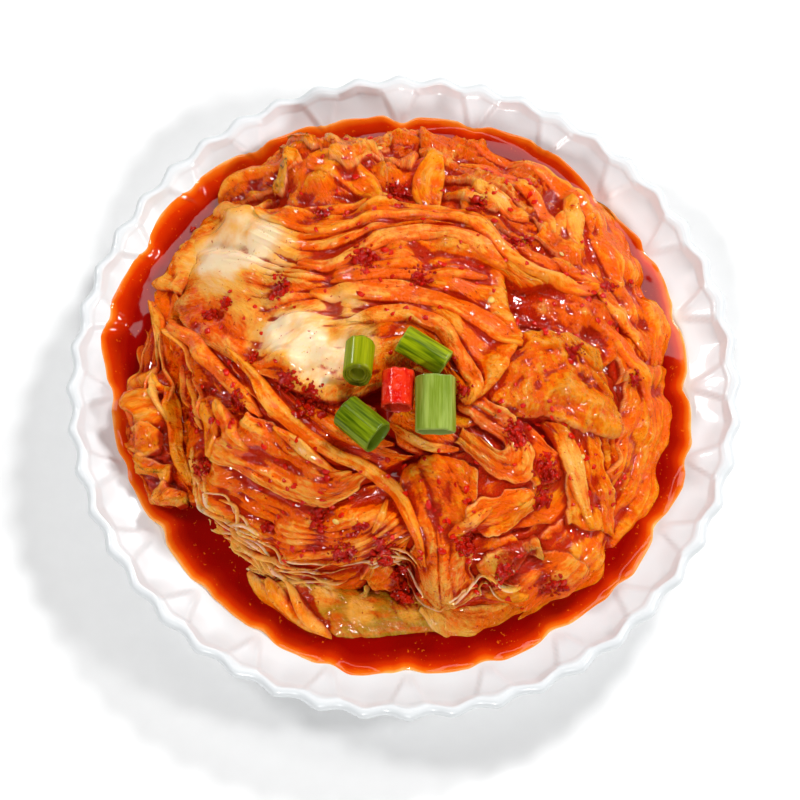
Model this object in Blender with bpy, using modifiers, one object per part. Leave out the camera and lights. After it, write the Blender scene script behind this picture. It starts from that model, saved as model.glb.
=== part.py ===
"""A plate of whole-cabbage kimchi: a folded bundle of fermented leaves in its red sauce, on a white fluted
ceramic plate, with four cut scallions and a piece of red chilli on top.

Metres, +Z up. The origin is the centre of the plate's underside, and +Y points to the far side of the plate.
Every solid is a primitive or a turned profile whose vertices are then moved by the functions of the shape.
"""

from math import atan2, cos, exp, hypot, pi, radians, sin

import bmesh
import bpy
from mathutils import Matrix, Vector
from mathutils.bvhtree import BVHTree

MM = 0.001
GAP = 0.35 * MM  # left between pieces that touch

# Plate
RIM_RADIUS = 110.0 * MM  # to the tips of the scallops
RIM_HEIGHT = 26.0 * MM
FLOOR_RADIUS = 66.0 * MM
FLOOR_HEIGHT = 6.0 * MM
WALL_FOOT_RADIUS = 76.0 * MM  # where the floor's curve becomes the straight wall
WALL_TOP_RADIUS = 106.5 * MM
WALL_TOP_HEIGHT = 24.4 * MM
WALL_FOOT_HEIGHT = 8.2 * MM
FOOT_OUTER_RADIUS = 64.0 * MM
FOOT_INNER_RADIUS = 57.0 * MM
UNDERSIDE_HEIGHT = 2.0 * MM  # of the recess inside the foot
PLATE_STEPS = 192  # four for each scallop
SCALLOPS = 48
SCALLOP_DEPTH = 1.9 * MM
DARTS = 24  # raised triangular facets, one behind every other scallop
DART_PHASE = radians(0.8)
DART_APEX_RADIUS = 93.0 * MM
DART_MIDDLE_RADIUS = 100.0 * MM
DART_HALF_WIDTH = radians(3.3)
DART_HEIGHT = 1.5 * MM

# Sauce
SAUCE_LEVEL = 17.6 * MM  # beside the cabbage
SAUCE_EDGE_RADIUS = 93.5 * MM
SAUCE_SMEAR = 6.0 * MM  # how much further it reaches up the wall at the back left
SMEAR_ANGLE = radians(125.0)
SMEAR_SPREAD = radians(48.0)
SAUCE_EDGE_THICKNESS = 0.8 * MM
SAUCE_DEPTH = 2.0 * MM  # the least, away from that edge
SAUCE_SIDES = 5  # corners of the pool's section

# Cabbage bundle: its outline's radius every 30 degrees, anticlockwise from +X
BUNDLE_OUTLINE = [radius * MM for radius in (88, 88.5, 89.5, 90, 90, 85, 77, 77, 77, 74.5, 82.5, 88.5)]
BUNDLE_TOP = 56.0 * MM
BUNDLE_SEGMENTS = 72
BUNDLE_RINGS = 16
BUNDLE_TOP_RINGS = 12  # of those rings, the ones on the upper side
BUNDLE_ROUNDNESS = 2.5  # the dome's exponents: how flat its top is,
BUNDLE_FALL = 0.66  # and how steep its sides are
WIDEST_HEIGHT = 12.0 * MM  # the least height of its widest line
WALL_CLEARANCE = 1.6 * MM  # of that line above the plate's wall
FOLD_DEPTH = 1.3 * MM
STEM_RISE = 3.2 * MM  # the thick white stem at the bundle's root end
STEM_CENTRE = (-48.0 * MM, 22.0 * MM)
STEM_DIRECTION = radians(-38.0)
STEM_HALF_LENGTH = 40.0 * MM
STEM_HALF_WIDTH = 19.0 * MM

# Leaves that lie beside the bundle: their angles, how far out they reach, their height and their waves
SIDE_LEAVES = ((radians(170), radians(220)), 93.0 * MM, 25.0 * MM, 5)
FRONT_LEAF = ((radians(230), radians(305)), 88.0 * MM, 26.0 * MM, 3)
LEAF_EDGE = 2.0 * MM  # thickness of those leaves where they end

# Garnish, in millimetres and degrees: the middle in plan, the direction in plan, the length, the radius
# and how far the cut leans for each millimetre of height
SCALLIONS = {
    "scallion_1": ((-14.1, -4.0), 85.0, 9.8, 4.6, 0.53),
    "scallion_2": ((6.2, -0.6), -32.0, 16.0, 4.5, 0.1),
    "scallion_3": ((-13.1, -24.1), -41.0, 14.0, 5.5, 0.05),
    "scallion_4": ((9.7, -18.2), 89.0, 17.4, 6.2, 0.0),
}
CHILLI = ((-2.0, -13.4), 88.0, 11.6, 5.1, 0.05)
SCALLION_WALL = 1.5 * MM
CHILLI_WALL = 1.4 * MM
TUBE_SEGMENTS = 16


def smooth_step(low, high, value):
    """0 below low, 1 above high, and an even curve between."""
    t = min(1.0, max(0.0, (value - low) / (high - low)))
    return t * t * (3 - 2 * t)


def turn_between(angle, centre):
    """The signed angle from centre to angle, from -pi to pi."""
    return (angle - centre + pi) % (2 * pi) - pi


# ------------------------------------------------------------------ plate


def dart_relief(radius, angle):
    """How far the wall's pattern lifts the surface: triangular darts between shallow scoops."""
    along = (radius - DART_APEX_RADIUS) / (WALL_TOP_RADIUS - DART_APEX_RADIUS)
    if along <= 0:
        return 0.0
    pitch = 2 * pi / DARTS
    away = abs(turn_between((angle - DART_PHASE) * DARTS, 0.0)) / DARTS
    half_width = DART_HALF_WIDTH * min(1.0, along)
    inside = 1 - smooth_step(half_width * 0.75, half_width + radians(0.9), away)
    scoop = smooth_step(half_width, pitch / 2, away)
    fade = 1 - smooth_step(0.8, 1.15, along)
    return DART_HEIGHT * fade * smooth_step(0.0, 0.45, along) * (inside - 0.45 * scoop)


def scallop_inset(angle):
    """How far the rim draws in between the tips of its scallops, from 0 to 1."""
    return abs(sin((angle - DART_PHASE) * SCALLOPS / 2)) ** 1.6


def plain_wall_height(radius):
    """Height of the floor and wall before the pattern is pressed in."""
    if radius <= FLOOR_RADIUS:
        return FLOOR_HEIGHT
    if radius < WALL_FOOT_RADIUS:
        t = (radius - FLOOR_RADIUS) / (WALL_FOOT_RADIUS - FLOOR_RADIUS)
        return FLOOR_HEIGHT + (WALL_FOOT_HEIGHT - FLOOR_HEIGHT) * t
    t = (radius - WALL_FOOT_RADIUS) / (WALL_TOP_RADIUS - WALL_FOOT_RADIUS)
    return WALL_FOOT_HEIGHT + (WALL_TOP_HEIGHT - WALL_FOOT_HEIGHT) * t


def wall_height(radius, angle):
    """Height of the plate's upper surface inside the rim."""
    return plain_wall_height(radius) + dart_relief(radius, angle)


def plate_profile():
    """The plate's section from the axis over the rim and back under to the axis."""
    wall_rings = [WALL_FOOT_RADIUS, DART_APEX_RADIUS, DART_MIDDLE_RADIUS, WALL_TOP_RADIUS]
    inner = [(0.0, FLOOR_HEIGHT), (FLOOR_RADIUS, FLOOR_HEIGHT)]
    inner += [(radius, plain_wall_height(radius)) for radius in wall_rings]
    lip = [(108.2 * MM, RIM_HEIGHT), (RIM_RADIUS, 25.0 * MM), (108.6 * MM, 22.4 * MM)]
    outer = [
        (FOOT_OUTER_RADIUS + 5.0 * MM, 1.2 * MM),
        (FOOT_OUTER_RADIUS, 0.0),
        (FOOT_INNER_RADIUS, 0.0),
        (FOOT_INNER_RADIUS - 2.0 * MM, UNDERSIDE_HEIGHT),
        (0.0, UNDERSIDE_HEIGHT),
    ]
    return inner + lip + outer


def turned_mesh(points, steps, closed):
    """The mesh that a profile of (radius, height) points makes when it is turned about Z."""
    count = len(points)
    profile = bpy.data.meshes.new("profile")
    edges = [(i, (i + 1) % count) for i in range(count if closed else count - 1)]
    profile.from_pydata([(radius, 0.0, height) for radius, height in points], edges, [])
    turned = bpy.data.objects.new("turned", profile)
    bpy.context.scene.collection.objects.link(turned)
    screw = turned.modifiers.new("turn", "SCREW")
    screw.steps = screw.render_steps = steps
    screw.use_merge_vertices = True
    screw.merge_threshold = 1e-5
    bpy.context.view_layer.update()
    graph = bpy.context.evaluated_depsgraph_get()
    mesh = bpy.data.meshes.new_from_object(turned.evaluated_get(graph))
    bpy.data.objects.remove(turned)
    return mesh


def make_plate(collection):
    """Turns the profile, then presses the scallops and the darts into it."""
    mesh = turned_mesh(plate_profile(), PLATE_STEPS, closed=False)
    for vertex in mesh.vertices:
        radius, angle = hypot(vertex.co.x, vertex.co.y), atan2(vertex.co.y, vertex.co.x)
        if radius < WALL_FOOT_RADIUS:
            continue
        height = vertex.co.z + dart_relief(radius, angle)
        edge = smooth_step(98.0 * MM, RIM_RADIUS, radius)
        reach = radius - SCALLOP_DEPTH * edge * scallop_inset(angle)
        vertex.co = (reach * cos(angle), reach * sin(angle), height)
    return finish_mesh("plate", mesh, collection, (0.86, 0.86, 0.85), 0.12)


# ---------------------------------------------------------------- cabbage


def bundle_radius(angle):
    """Radius of the bundle's outline, along an even curve through the values of BUNDLE_OUTLINE."""
    count = len(BUNDLE_OUTLINE)
    place = (angle % (2 * pi)) / (2 * pi) * count
    first = int(place) % count
    a, b, c, d = (BUNDLE_OUTLINE[(first + k) % count] for k in (-1, 0, 1, 2))
    t = place - int(place)
    return b + 0.5 * t * (c - a + t * (2 * a - 5 * b + 4 * c - d + t * (3 * (b - c) + d - a)))


def edge_height(radius, angle):
    """Height of the bundle's widest line, low in the sauce but clear of the wall."""
    return max(WIDEST_HEIGHT, wall_height(radius, angle) + WALL_CLEARANCE)


def stem_relief(x, y):
    """Rise of the thick stem, an oval that leans to the front right."""
    dx, dy = x - STEM_CENTRE[0], y - STEM_CENTRE[1]
    along = (dx * cos(STEM_DIRECTION) + dy * sin(STEM_DIRECTION)) / STEM_HALF_LENGTH
    across = (dy * cos(STEM_DIRECTION) - dx * sin(STEM_DIRECTION)) / STEM_HALF_WIDTH
    return STEM_RISE * exp(-(along**4) - across**4)


def fold_relief(share, angle):
    """Leaf folds that run round the bundle in loose spirals, round on top with a narrow crease between."""
    wide = 1 - 2 * abs(sin(2.5 * angle + 3.5 * share)) ** 3
    narrow = 1 - 2 * abs(sin(4.5 * angle - 5.5 * share + 0.5)) ** 3
    fade = smooth_step(0.1, 0.5, share) * (1 - smooth_step(0.9, 1.0, share))
    return FOLD_DEPTH * (wide + 0.6 * narrow) * fade


def bundle_point(share, angle):
    """A point of the bundle's upper surface, at a share of the way from the middle to its outline."""
    radius = bundle_radius(angle)
    low = edge_height(radius, angle)
    dome = max(0.0, 1 - share**BUNDLE_ROUNDNESS) ** BUNDLE_FALL
    reach = share * radius
    x, y = reach * cos(angle), reach * sin(angle)
    relief = (fold_relief(share, angle) + stem_relief(x, y)) * smooth_step(0.0, 0.3, dome)
    return Vector((x, y, low + (BUNDLE_TOP - low) * dome + relief))


def make_bundle(collection):
    """The folded head of leaves: a sphere's rings moved onto the dome above and the plate below."""
    shape = bmesh.new()
    bmesh.ops.create_uvsphere(shape, u_segments=BUNDLE_SEGMENTS, v_segments=BUNDLE_RINGS, radius=1.0)
    for vertex in shape.verts:
        angle = atan2(vertex.co.y, vertex.co.x)
        ring = round((pi / 2 - atan2(vertex.co.z, hypot(vertex.co.x, vertex.co.y))) / pi * BUNDLE_RINGS)
        if ring <= BUNDLE_TOP_RINGS:
            vertex.co = bundle_point(sin(ring / BUNDLE_TOP_RINGS * pi / 2), angle)
            continue
        left = (BUNDLE_RINGS - ring) / (BUNDLE_RINGS - BUNDLE_TOP_RINGS)
        radius = bundle_radius(angle) * (0.97 * left**0.7)
        vertex.co = (radius * cos(angle), radius * sin(angle), wall_height(radius, angle) + 2 * GAP)
    return finish_bmesh("cabbage_bundle", shape, collection, (0.72, 0.17, 0.02), 0.3)


def beside_taper(across):
    """How a leaf beside the bundle thins towards its two ends, at a share of the way along it."""
    return sin(pi * (0.06 + 0.88 * across)) ** 0.5


def make_beside(name, collection, leaf, colour):
    """A leaf or a few that lie against the bundle, from the plate up to a wavy top.

    Two grids are joined at their rims and moved: X runs round the bundle, Y outwards and Z up.
    """
    (start, end), reach, top, waves = leaf
    pitch = 2 * pi / BUNDLE_SEGMENTS
    steps = round((end - start) / pitch)
    shape = bmesh.new()
    bmesh.ops.create_grid(shape, x_segments=steps, y_segments=5, size=1.0)
    bottom = bmesh.ops.duplicate(shape, geom=shape.verts[:] + shape.edges[:] + shape.faces[:])["geom"]
    lower = {item for item in bottom if isinstance(item, bmesh.types.BMVert)}
    bmesh.ops.reverse_faces(shape, faces=[item for item in bottom if isinstance(item, bmesh.types.BMFace)])
    edges = [edge for edge in shape.edges if edge.is_boundary]
    for vertex in shape.verts:
        vertex.co.z = -1.0 if vertex in lower else 1.0
    bmesh.ops.bridge_loops(shape, edges=edges)
    for vertex in shape.verts:
        across, out = (vertex.co.x + 1) / 2, (vertex.co.y + 1) / 2
        angle = start + (end - start) * across
        taper = beside_taper(across)
        inner = bundle_radius(angle) + 3 * GAP
        radius = inner + (reach - inner) * taper * (1 + 0.05 * sin(waves * pi * across)) * out
        floor = wall_height(radius, angle) + 2 * GAP
        height = floor
        if vertex.co.z > 0:
            crown = (1 - (2 * out - 1) ** 4) ** 0.5 if 0 < out < 1 else 0.0
            peak = top * (1 + 0.08 * sin(waves * pi * across + 1.0))
            height = floor + LEAF_EDGE + (peak - floor - LEAF_EDGE) * (0.25 + 0.75 * crown) * taper
        vertex.co = (radius * cos(angle), radius * sin(angle), height)
    return finish_bmesh(name, shape, collection, colour, 0.3)


# ------------------------------------------------------------------ sauce


def food_radius(angle):
    """Outline of all the cabbage that stands in the sauce."""
    radius = bundle_radius(angle)
    for (start, end), reach, _top, _waves in (SIDE_LEAVES, FRONT_LEAF):
        across = ((angle - start) % (2 * pi)) / (end - start)
        beyond = 0.0
        if across > 1:
            beyond = min(abs(turn_between(angle, start)), abs(turn_between(angle, end)))
            across = 0.0
        taper = beside_taper(across) * (1 - smooth_step(0.0, radians(4.0), beyond))
        radius = max(radius, radius + (reach - radius) * taper * 1.05)
    return radius


def sauce_radius(angle):
    """Radius of the sauce's edge on the plate's wall."""
    smear = SAUCE_SMEAR * exp(-((turn_between(angle, SMEAR_ANGLE) / SMEAR_SPREAD) ** 2))
    waves = 0.7 * MM * sin(7 * angle + 0.6) + 0.5 * MM * sin(11 * angle)
    dart = 0.9 * MM * cos((angle - DART_PHASE) * DARTS)
    return SAUCE_EDGE_RADIUS + smear + waves - dart


def make_sauce(collection):
    """The pool between the cabbage and the plate's wall: a torus whose tube becomes the pool's section."""
    bpy.ops.mesh.primitive_torus_add(
        major_segments=PLATE_STEPS, minor_segments=SAUCE_SIDES, major_radius=1.0, minor_radius=0.5
    )
    torus = bpy.context.object
    mesh = torus.data.copy()
    bpy.data.objects.remove(torus)
    for vertex in mesh.vertices:
        angle = atan2(vertex.co.y, vertex.co.x)
        turn = atan2(vertex.co.z, hypot(vertex.co.x, vertex.co.y) - 1.0) / (2 * pi)
        corner = round(turn * SAUCE_SIDES) % SAUCE_SIDES
        outer = max(sauce_radius(angle), food_radius(angle) + 2.5 * MM)
        inner = food_radius(angle) + 2 * GAP
        middle = (inner + outer) / 2
        edge_bed = max(wall_height(outer, angle), plain_wall_height(outer)) + GAP
        section = [
            (outer, max(edge_bed + SAUCE_EDGE_THICKNESS, SAUCE_LEVEL)),
            (middle, max(SAUCE_LEVEL, wall_height(middle, angle) + SAUCE_DEPTH)),
            (inner, max(SAUCE_LEVEL, wall_height(inner, angle) + SAUCE_DEPTH)),
            (inner, wall_height(inner, angle) + GAP),
            (outer, edge_bed),
        ]
        radius, height = section[corner]
        vertex.co = (radius * cos(angle), radius * sin(angle), height)
    return finish_mesh("sauce", mesh, collection, (0.55, 0.03, 0.005), 0.08)


# ---------------------------------------------------------------- garnish


def surface_height(tree, x, y):
    """Height of the bundle's surface at a point in plan."""
    return tree.ray_cast(Vector((x, y, 1.0)), Vector((0, 0, -1)))[0].z


def make_tube(name, collection, place, wall, tree, colour):
    """A cut tube that lies on the bundle, along its slope, raised until it clears the surface below it."""
    (x, y), heading, length, radius, lean = place
    x, y, half, radius, heading = x * MM, y * MM, length / 2 * MM, radius * MM, radians(heading)
    corners = [(radius, half), (radius, -half), (radius - wall, -half), (radius - wall, half)]
    mesh = turned_mesh(corners, TUBE_SEGMENTS, closed=True)
    for vertex in mesh.vertices:
        vertex.co.z += lean * vertex.co.y
    reach = Vector((cos(heading), sin(heading), 0.0)) * half
    back = surface_height(tree, x - reach.x, y - reach.y)
    front = surface_height(tree, x + reach.x, y + reach.y)
    ahead = Vector((reach.x, reach.y, (front - back) / 2)).normalized()
    side = Vector((0, 0, 1)).cross(ahead).normalized()
    turn = Matrix((side, ahead.cross(side), ahead)).transposed().to_4x4()
    mesh.transform(Matrix.Translation((x, y, BUNDLE_TOP)) @ turn)
    samples = []
    for edge in mesh.edges:
        start, end = (mesh.vertices[index].co for index in edge.vertices)
        samples += [start.lerp(end, share / 8) for share in range(9)]
    lift = max(surface_height(tree, point.x, point.y) - point.z for point in samples)
    mesh.transform(Matrix.Translation((0, 0, lift + 2 * GAP)))
    return finish_mesh(name, mesh, collection, colour, 0.25)


# ------------------------------------------------------------------ build


def make_material(name, colour, roughness):
    """A plain Principled material."""
    material = bpy.data.materials.new(name)
    material.use_nodes = True
    shader = material.node_tree.nodes["Principled BSDF"]
    shader.inputs["Base Color"].default_value = (*colour, 1.0)
    shader.inputs["Roughness"].default_value = roughness
    shader.inputs["Metallic"].default_value = 0.0
    material.diffuse_color = (*colour, 1.0)
    return material


def finish_mesh(name, mesh, collection, colour, roughness):
    """Makes the mesh an object of that name: welded, facing out, smooth, with its material."""
    shape = bmesh.new()
    shape.from_mesh(mesh)
    bmesh.ops.remove_doubles(shape, verts=shape.verts[:], dist=1e-6)
    return finish_bmesh(name, shape, collection, colour, roughness)


def finish_bmesh(name, shape, collection, colour, roughness):
    """Writes the bmesh to a new object of that name, its faces turned outwards."""
    bmesh.ops.recalc_face_normals(shape, faces=shape.faces[:])
    if shape.calc_volume(signed=True) < 0:
        bmesh.ops.reverse_faces(shape, faces=shape.faces[:])
    mesh = bpy.data.meshes.new(name)
    shape.to_mesh(mesh)
    shape.free()
    mesh.shade_smooth()
    mesh.set_sharp_from_angle(angle=radians(50))
    mesh.materials.clear()
    mesh.materials.append(make_material(name, colour, roughness))
    made = bpy.data.objects.new(name, mesh)
    collection.objects.link(made)
    return made


def tree_of(made):
    """A ray tree of the object's mesh."""
    shape = bmesh.new()
    shape.from_mesh(made.data)
    tree = BVHTree.FromBMesh(shape)
    shape.free()
    return tree


def main():
    """Clears the scene and makes each piece in turn."""
    for old in list(bpy.data.objects):
        bpy.data.objects.remove(old)
    collection = bpy.data.collections.new("kimchi_plate")
    bpy.context.scene.collection.children.link(collection)
    make_plate(collection)
    bundle = make_bundle(collection)
    make_beside("side_leaves", collection, SIDE_LEAVES, (0.7, 0.2, 0.03))
    make_beside("front_leaf", collection, FRONT_LEAF, (0.62, 0.42, 0.12))
    make_sauce(collection)
    tree = tree_of(bundle)
    for name, place in SCALLIONS.items():
        make_tube(name, collection, place, SCALLION_WALL, tree, (0.16, 0.42, 0.03))
    make_tube("red_chilli", collection, CHILLI, CHILLI_WALL, tree, (0.8, 0.02, 0.01))


main()
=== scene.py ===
"""Looks of a plate of whole-cabbage kimchi.

Leaves lie one on another over a dome, in their red sauce, with cut scallions and a piece of red chilli on
top, on a white fluted plate. They are laid on the dome as on a map that is unrolled about the dome's top.
Lengths inside the script are millimetres; meshes are made in metres.
"""

from __future__ import annotations

import logging
import math
from dataclasses import dataclass, field
from enum import Enum
from typing import Callable, Iterable, Sequence

import bpy
import numpy as np
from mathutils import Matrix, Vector


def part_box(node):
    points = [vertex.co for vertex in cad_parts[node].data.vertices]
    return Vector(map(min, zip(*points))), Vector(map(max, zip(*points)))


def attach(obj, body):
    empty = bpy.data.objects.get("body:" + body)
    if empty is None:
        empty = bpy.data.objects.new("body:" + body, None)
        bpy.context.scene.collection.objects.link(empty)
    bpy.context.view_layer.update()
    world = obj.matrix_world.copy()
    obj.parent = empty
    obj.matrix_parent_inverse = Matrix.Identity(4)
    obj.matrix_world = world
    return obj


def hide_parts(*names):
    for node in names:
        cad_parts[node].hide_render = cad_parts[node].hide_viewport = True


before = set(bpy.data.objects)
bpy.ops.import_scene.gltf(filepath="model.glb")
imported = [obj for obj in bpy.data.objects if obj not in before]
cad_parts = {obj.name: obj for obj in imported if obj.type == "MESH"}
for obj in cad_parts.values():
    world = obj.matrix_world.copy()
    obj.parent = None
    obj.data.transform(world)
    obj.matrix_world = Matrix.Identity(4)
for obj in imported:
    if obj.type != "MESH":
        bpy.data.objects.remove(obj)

log = logging.getLogger("kimchi")

MM = 0.001
TAU = 2 * math.pi
OPEN = 1e6  # a height that nothing reaches
PATH_STEPS = 60

Array = np.ndarray
Material = bpy.types.Material
Point = tuple[float, float]
Triple = tuple[float, float, float]
Colour = Triple
Spot = tuple[Point, float, float]


# ---- noise and small maths


def smooth(low: float, high: float, value: Array) -> Array:
    """0 below low, 1 above high and an even curve between."""
    share = np.clip((value - low) / (high - low), 0.0, 1.0)
    return share * share * (3 - 2 * share)


def scatter(x: Array, y: Array, seed: int) -> Array:
    """A repeatable random number for each pair of whole numbers.

    Args:
        x: The first numbers.
        y: The second numbers.
        seed: Picks another set of results.

    Returns:
        Numbers from 0 to 1.
    """
    number = x.astype(np.int64) * 374761393 + y.astype(np.int64) * 668265263 + seed * 2246822519
    number = (number ^ (number >> 13)) * 1274126177
    return ((number ^ (number >> 16)) & 0xFFFFFF) / float(0xFFFFFF)


def noise(x: Array, y: Array | float, seed: int) -> Array:
    """Smooth value noise whose features are about one unit wide.

    Args:
        x: One coordinate of each point.
        y: The other.
        seed: Picks another pattern.

    Returns:
        Values from -1 to 1.
    """
    x, y = np.broadcast_arrays(np.asarray(x, float), np.asarray(y, float))
    left, low = np.floor(x), np.floor(y)
    right_share, up_share = x - left, y - low
    right_share = right_share * right_share * (3 - 2 * right_share)
    up_share = up_share * up_share * (3 - 2 * up_share)
    corners = [scatter(left + i, low + j, seed) for j in (0, 1) for i in (0, 1)]
    lower = corners[0] + (corners[1] - corners[0]) * right_share
    upper = corners[2] + (corners[3] - corners[2]) * right_share
    return 2 * (lower + (upper - lower) * up_share) - 1


def fractal(x: Array, y: Array | float, seed: int, octaves: int = 3) -> Array:
    """Noise with finer noise on it, from about -1 to 1."""
    layers = [noise(x * 2.0**k, y * 2.0**k, seed + 17 * k) / 2.0**k for k in range(octaves)]
    return sum(layers) / 1.6


def spline(a: Array, b: Array, c: Array, d: Array, share: Array) -> Array:
    """Points at shares of the way from b to c on the smooth curve through a, b, c and d."""
    bend = 2 * a - 5 * b + 4 * c - d + share * (3 * (b - c) + d - a)
    return b + 0.5 * share * (c - a + share * bend)


def curve_through(points: Array, count: int) -> Array:
    """Evenly spaced points on a smooth curve through the given ones.

    Args:
        points: The points that the curve passes, one a row.
        count: How many points to return.

    Returns:
        The points on the curve, one a row.
    """
    padded = np.vstack([2 * points[0] - points[1], points, 2 * points[-1] - points[-2]])
    shares = np.linspace(0, 1, 12, endpoint=False)[:, None]
    runs = [spline(*four, shares) for four in zip(padded, padded[1:], padded[2:], padded[3:])]
    line = np.vstack([*runs, points[-1:]])
    lengths = np.concatenate([[0.0], np.cumsum(np.linalg.norm(np.diff(line, axis=0), axis=1))])
    spots = np.linspace(0, lengths[-1], count)
    return np.stack([np.interp(spots, lengths, line[:, axis]) for axis in range(points.shape[1])], axis=1)


def run_length(line: Array) -> float:
    """Length of a line of points."""
    return float(np.linalg.norm(np.diff(line, axis=0), axis=1).sum())


def unit(vectors: Array) -> Array:
    """The vectors made one long."""
    return vectors / np.linalg.norm(vectors, axis=-1, keepdims=True).clip(1e-9)


def leftward(line: Array) -> Array:
    """The direction to the left of a line in plan, at each of its points."""
    ahead = np.gradient(line, axis=0)
    return unit(np.stack([-ahead[:, 1], ahead[:, 0]], axis=1))


def turns(count: int) -> Array:
    """Even steps of angle round a full turn, in one row."""
    return np.linspace(0, TAU, count, endpoint=False)[None, :]


def between(table: Array, i: Array, j: Array, u: Array, v: Array) -> Array:
    """What a table holds at shares u and v of the way from row i and column j to the next."""
    near, far = (table[row, j] * (1 - v) + table[row, j + 1] * v for row in (i, i + 1))
    return near * (1 - u) + far * u


# ---- grids of values


@dataclass
class Grid:
    """Values on a square of cells about the middle of a map, read between cells."""

    half: float
    cell: float
    values: Array

    @classmethod
    def level(cls, half: float, cell: float) -> Grid:
        """A grid that holds 0 everywhere."""
        side = int(round(2 * half / cell)) + 1
        return cls(half, cell, np.zeros((side, side)))

    def spots(self) -> tuple[Array, Array]:
        """Both map coordinates of every cell."""
        line = np.linspace(-self.half, self.half, self.values.shape[0])
        return np.meshgrid(line, line, indexing="ij")

    def read(self, a: Array, b: Array) -> Array:
        """Reads the grid between its cells.

        Args:
            a: The first map coordinate of each point.
            b: The second.

        Returns:
            The value at each point.
        """
        top = self.values.shape[0] - 1.001
        i = np.clip((a + self.half) / self.cell, 0, top)
        j = np.clip((b + self.half) / self.cell, 0, top)
        i0, j0 = i.astype(int), j.astype(int)
        u, v = i - i0, j - j0
        if self.values.ndim == 3:
            u, v = u[..., None], v[..., None]
        return between(self.values, i0, j0, u, v)

    def raise_to(self, a: Array, b: Array, height: Array) -> None:
        """Lifts the nearest cell of each point to the point's height.

        Args:
            a: The first map coordinate of each point.
            b: The second.
            height: The point's height.
        """
        side = self.values.shape[0]
        i = np.round((a + self.half) / self.cell).astype(int)
        j = np.round((b + self.half) / self.cell).astype(int)
        inside = (i >= 0) & (j >= 0) & (i < side) & (j < side)
        np.maximum.at(self.values, (i[inside], j[inside]), height[inside])

    def widened(self, reach: float, lowest: bool = False) -> Grid:
        """Every cell takes the highest or the lowest value near it.

        Args:
            reach: How near, in millimetres.
            lowest: Whether it takes the lowest one.

        Returns:
            The new grid.
        """
        pick = np.minimum if lowest else np.maximum
        out = self.values
        for axis in (0, 1):
            best = out
            for step in range(1, int(round(reach / self.cell)) + 1):
                best = pick(best, pick(np.roll(out, step, axis), np.roll(out, -step, axis)))
            out = best
        return Grid(self.half, self.cell, out)

    def softened(self, reach: float) -> Grid:
        """Every cell takes the mean of its surroundings, twice over.

        Args:
            reach: How far they go, in millimetres.

        Returns:
            The new grid.
        """
        steps = max(1, int(round(reach / self.cell)))
        out = self.values
        for _ in range(2):
            for axis in (0, 1):
                pads = [(0, 0)] * out.ndim
                pads[axis] = (steps + 1, steps)
                total = np.cumsum(np.pad(out, pads, mode="edge"), axis=axis)
                ends = np.split(total, [2 * steps + 1], axis=axis)
                out = (ends[1] - total.take(range(out.shape[axis]), axis=axis)) / (2 * steps + 1)
        return Grid(self.half, self.cell, out)


# ---- meshes


@dataclass
class Patch:
    """A sheet of a mesh: a grid of points with what their finish reads.

    Its size is its length and width in millimetres. It may be wrapped, its last column joined to the first,
    kept says which faces it has, and unrolled holds its map coordinates and heights until it is settled.
    """

    points: Array
    looks: dict[str, Array]
    size: Point
    wrapped: bool = False
    kept: Array | None = None
    unrolled: tuple[Array, Array, Array] | None = None

    def quads(self) -> tuple[Array, Array]:
        """The corners of each face, and their places on the grid.

        Returns:
            The index of each corner's point, and each corner's row and column.
        """
        rows, columns = self.points.shape[:2]
        across = columns if self.wrapped else columns - 1
        row, column = np.meshgrid(np.arange(rows - 1), np.arange(across), indexing="ij")
        if self.kept is not None:
            row, column = row[self.kept], column[self.kept]
        row, column = row.ravel(), column.ravel()
        turns = ((0, 0), (0, 1), (1, 1), (1, 0))
        corners = np.stack([(row + i) * columns + (column + j) % columns for i, j in turns], axis=1)
        places = np.stack([np.stack([row + i, column + j], axis=1) for i, j in turns], axis=1)
        return corners, places


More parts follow.
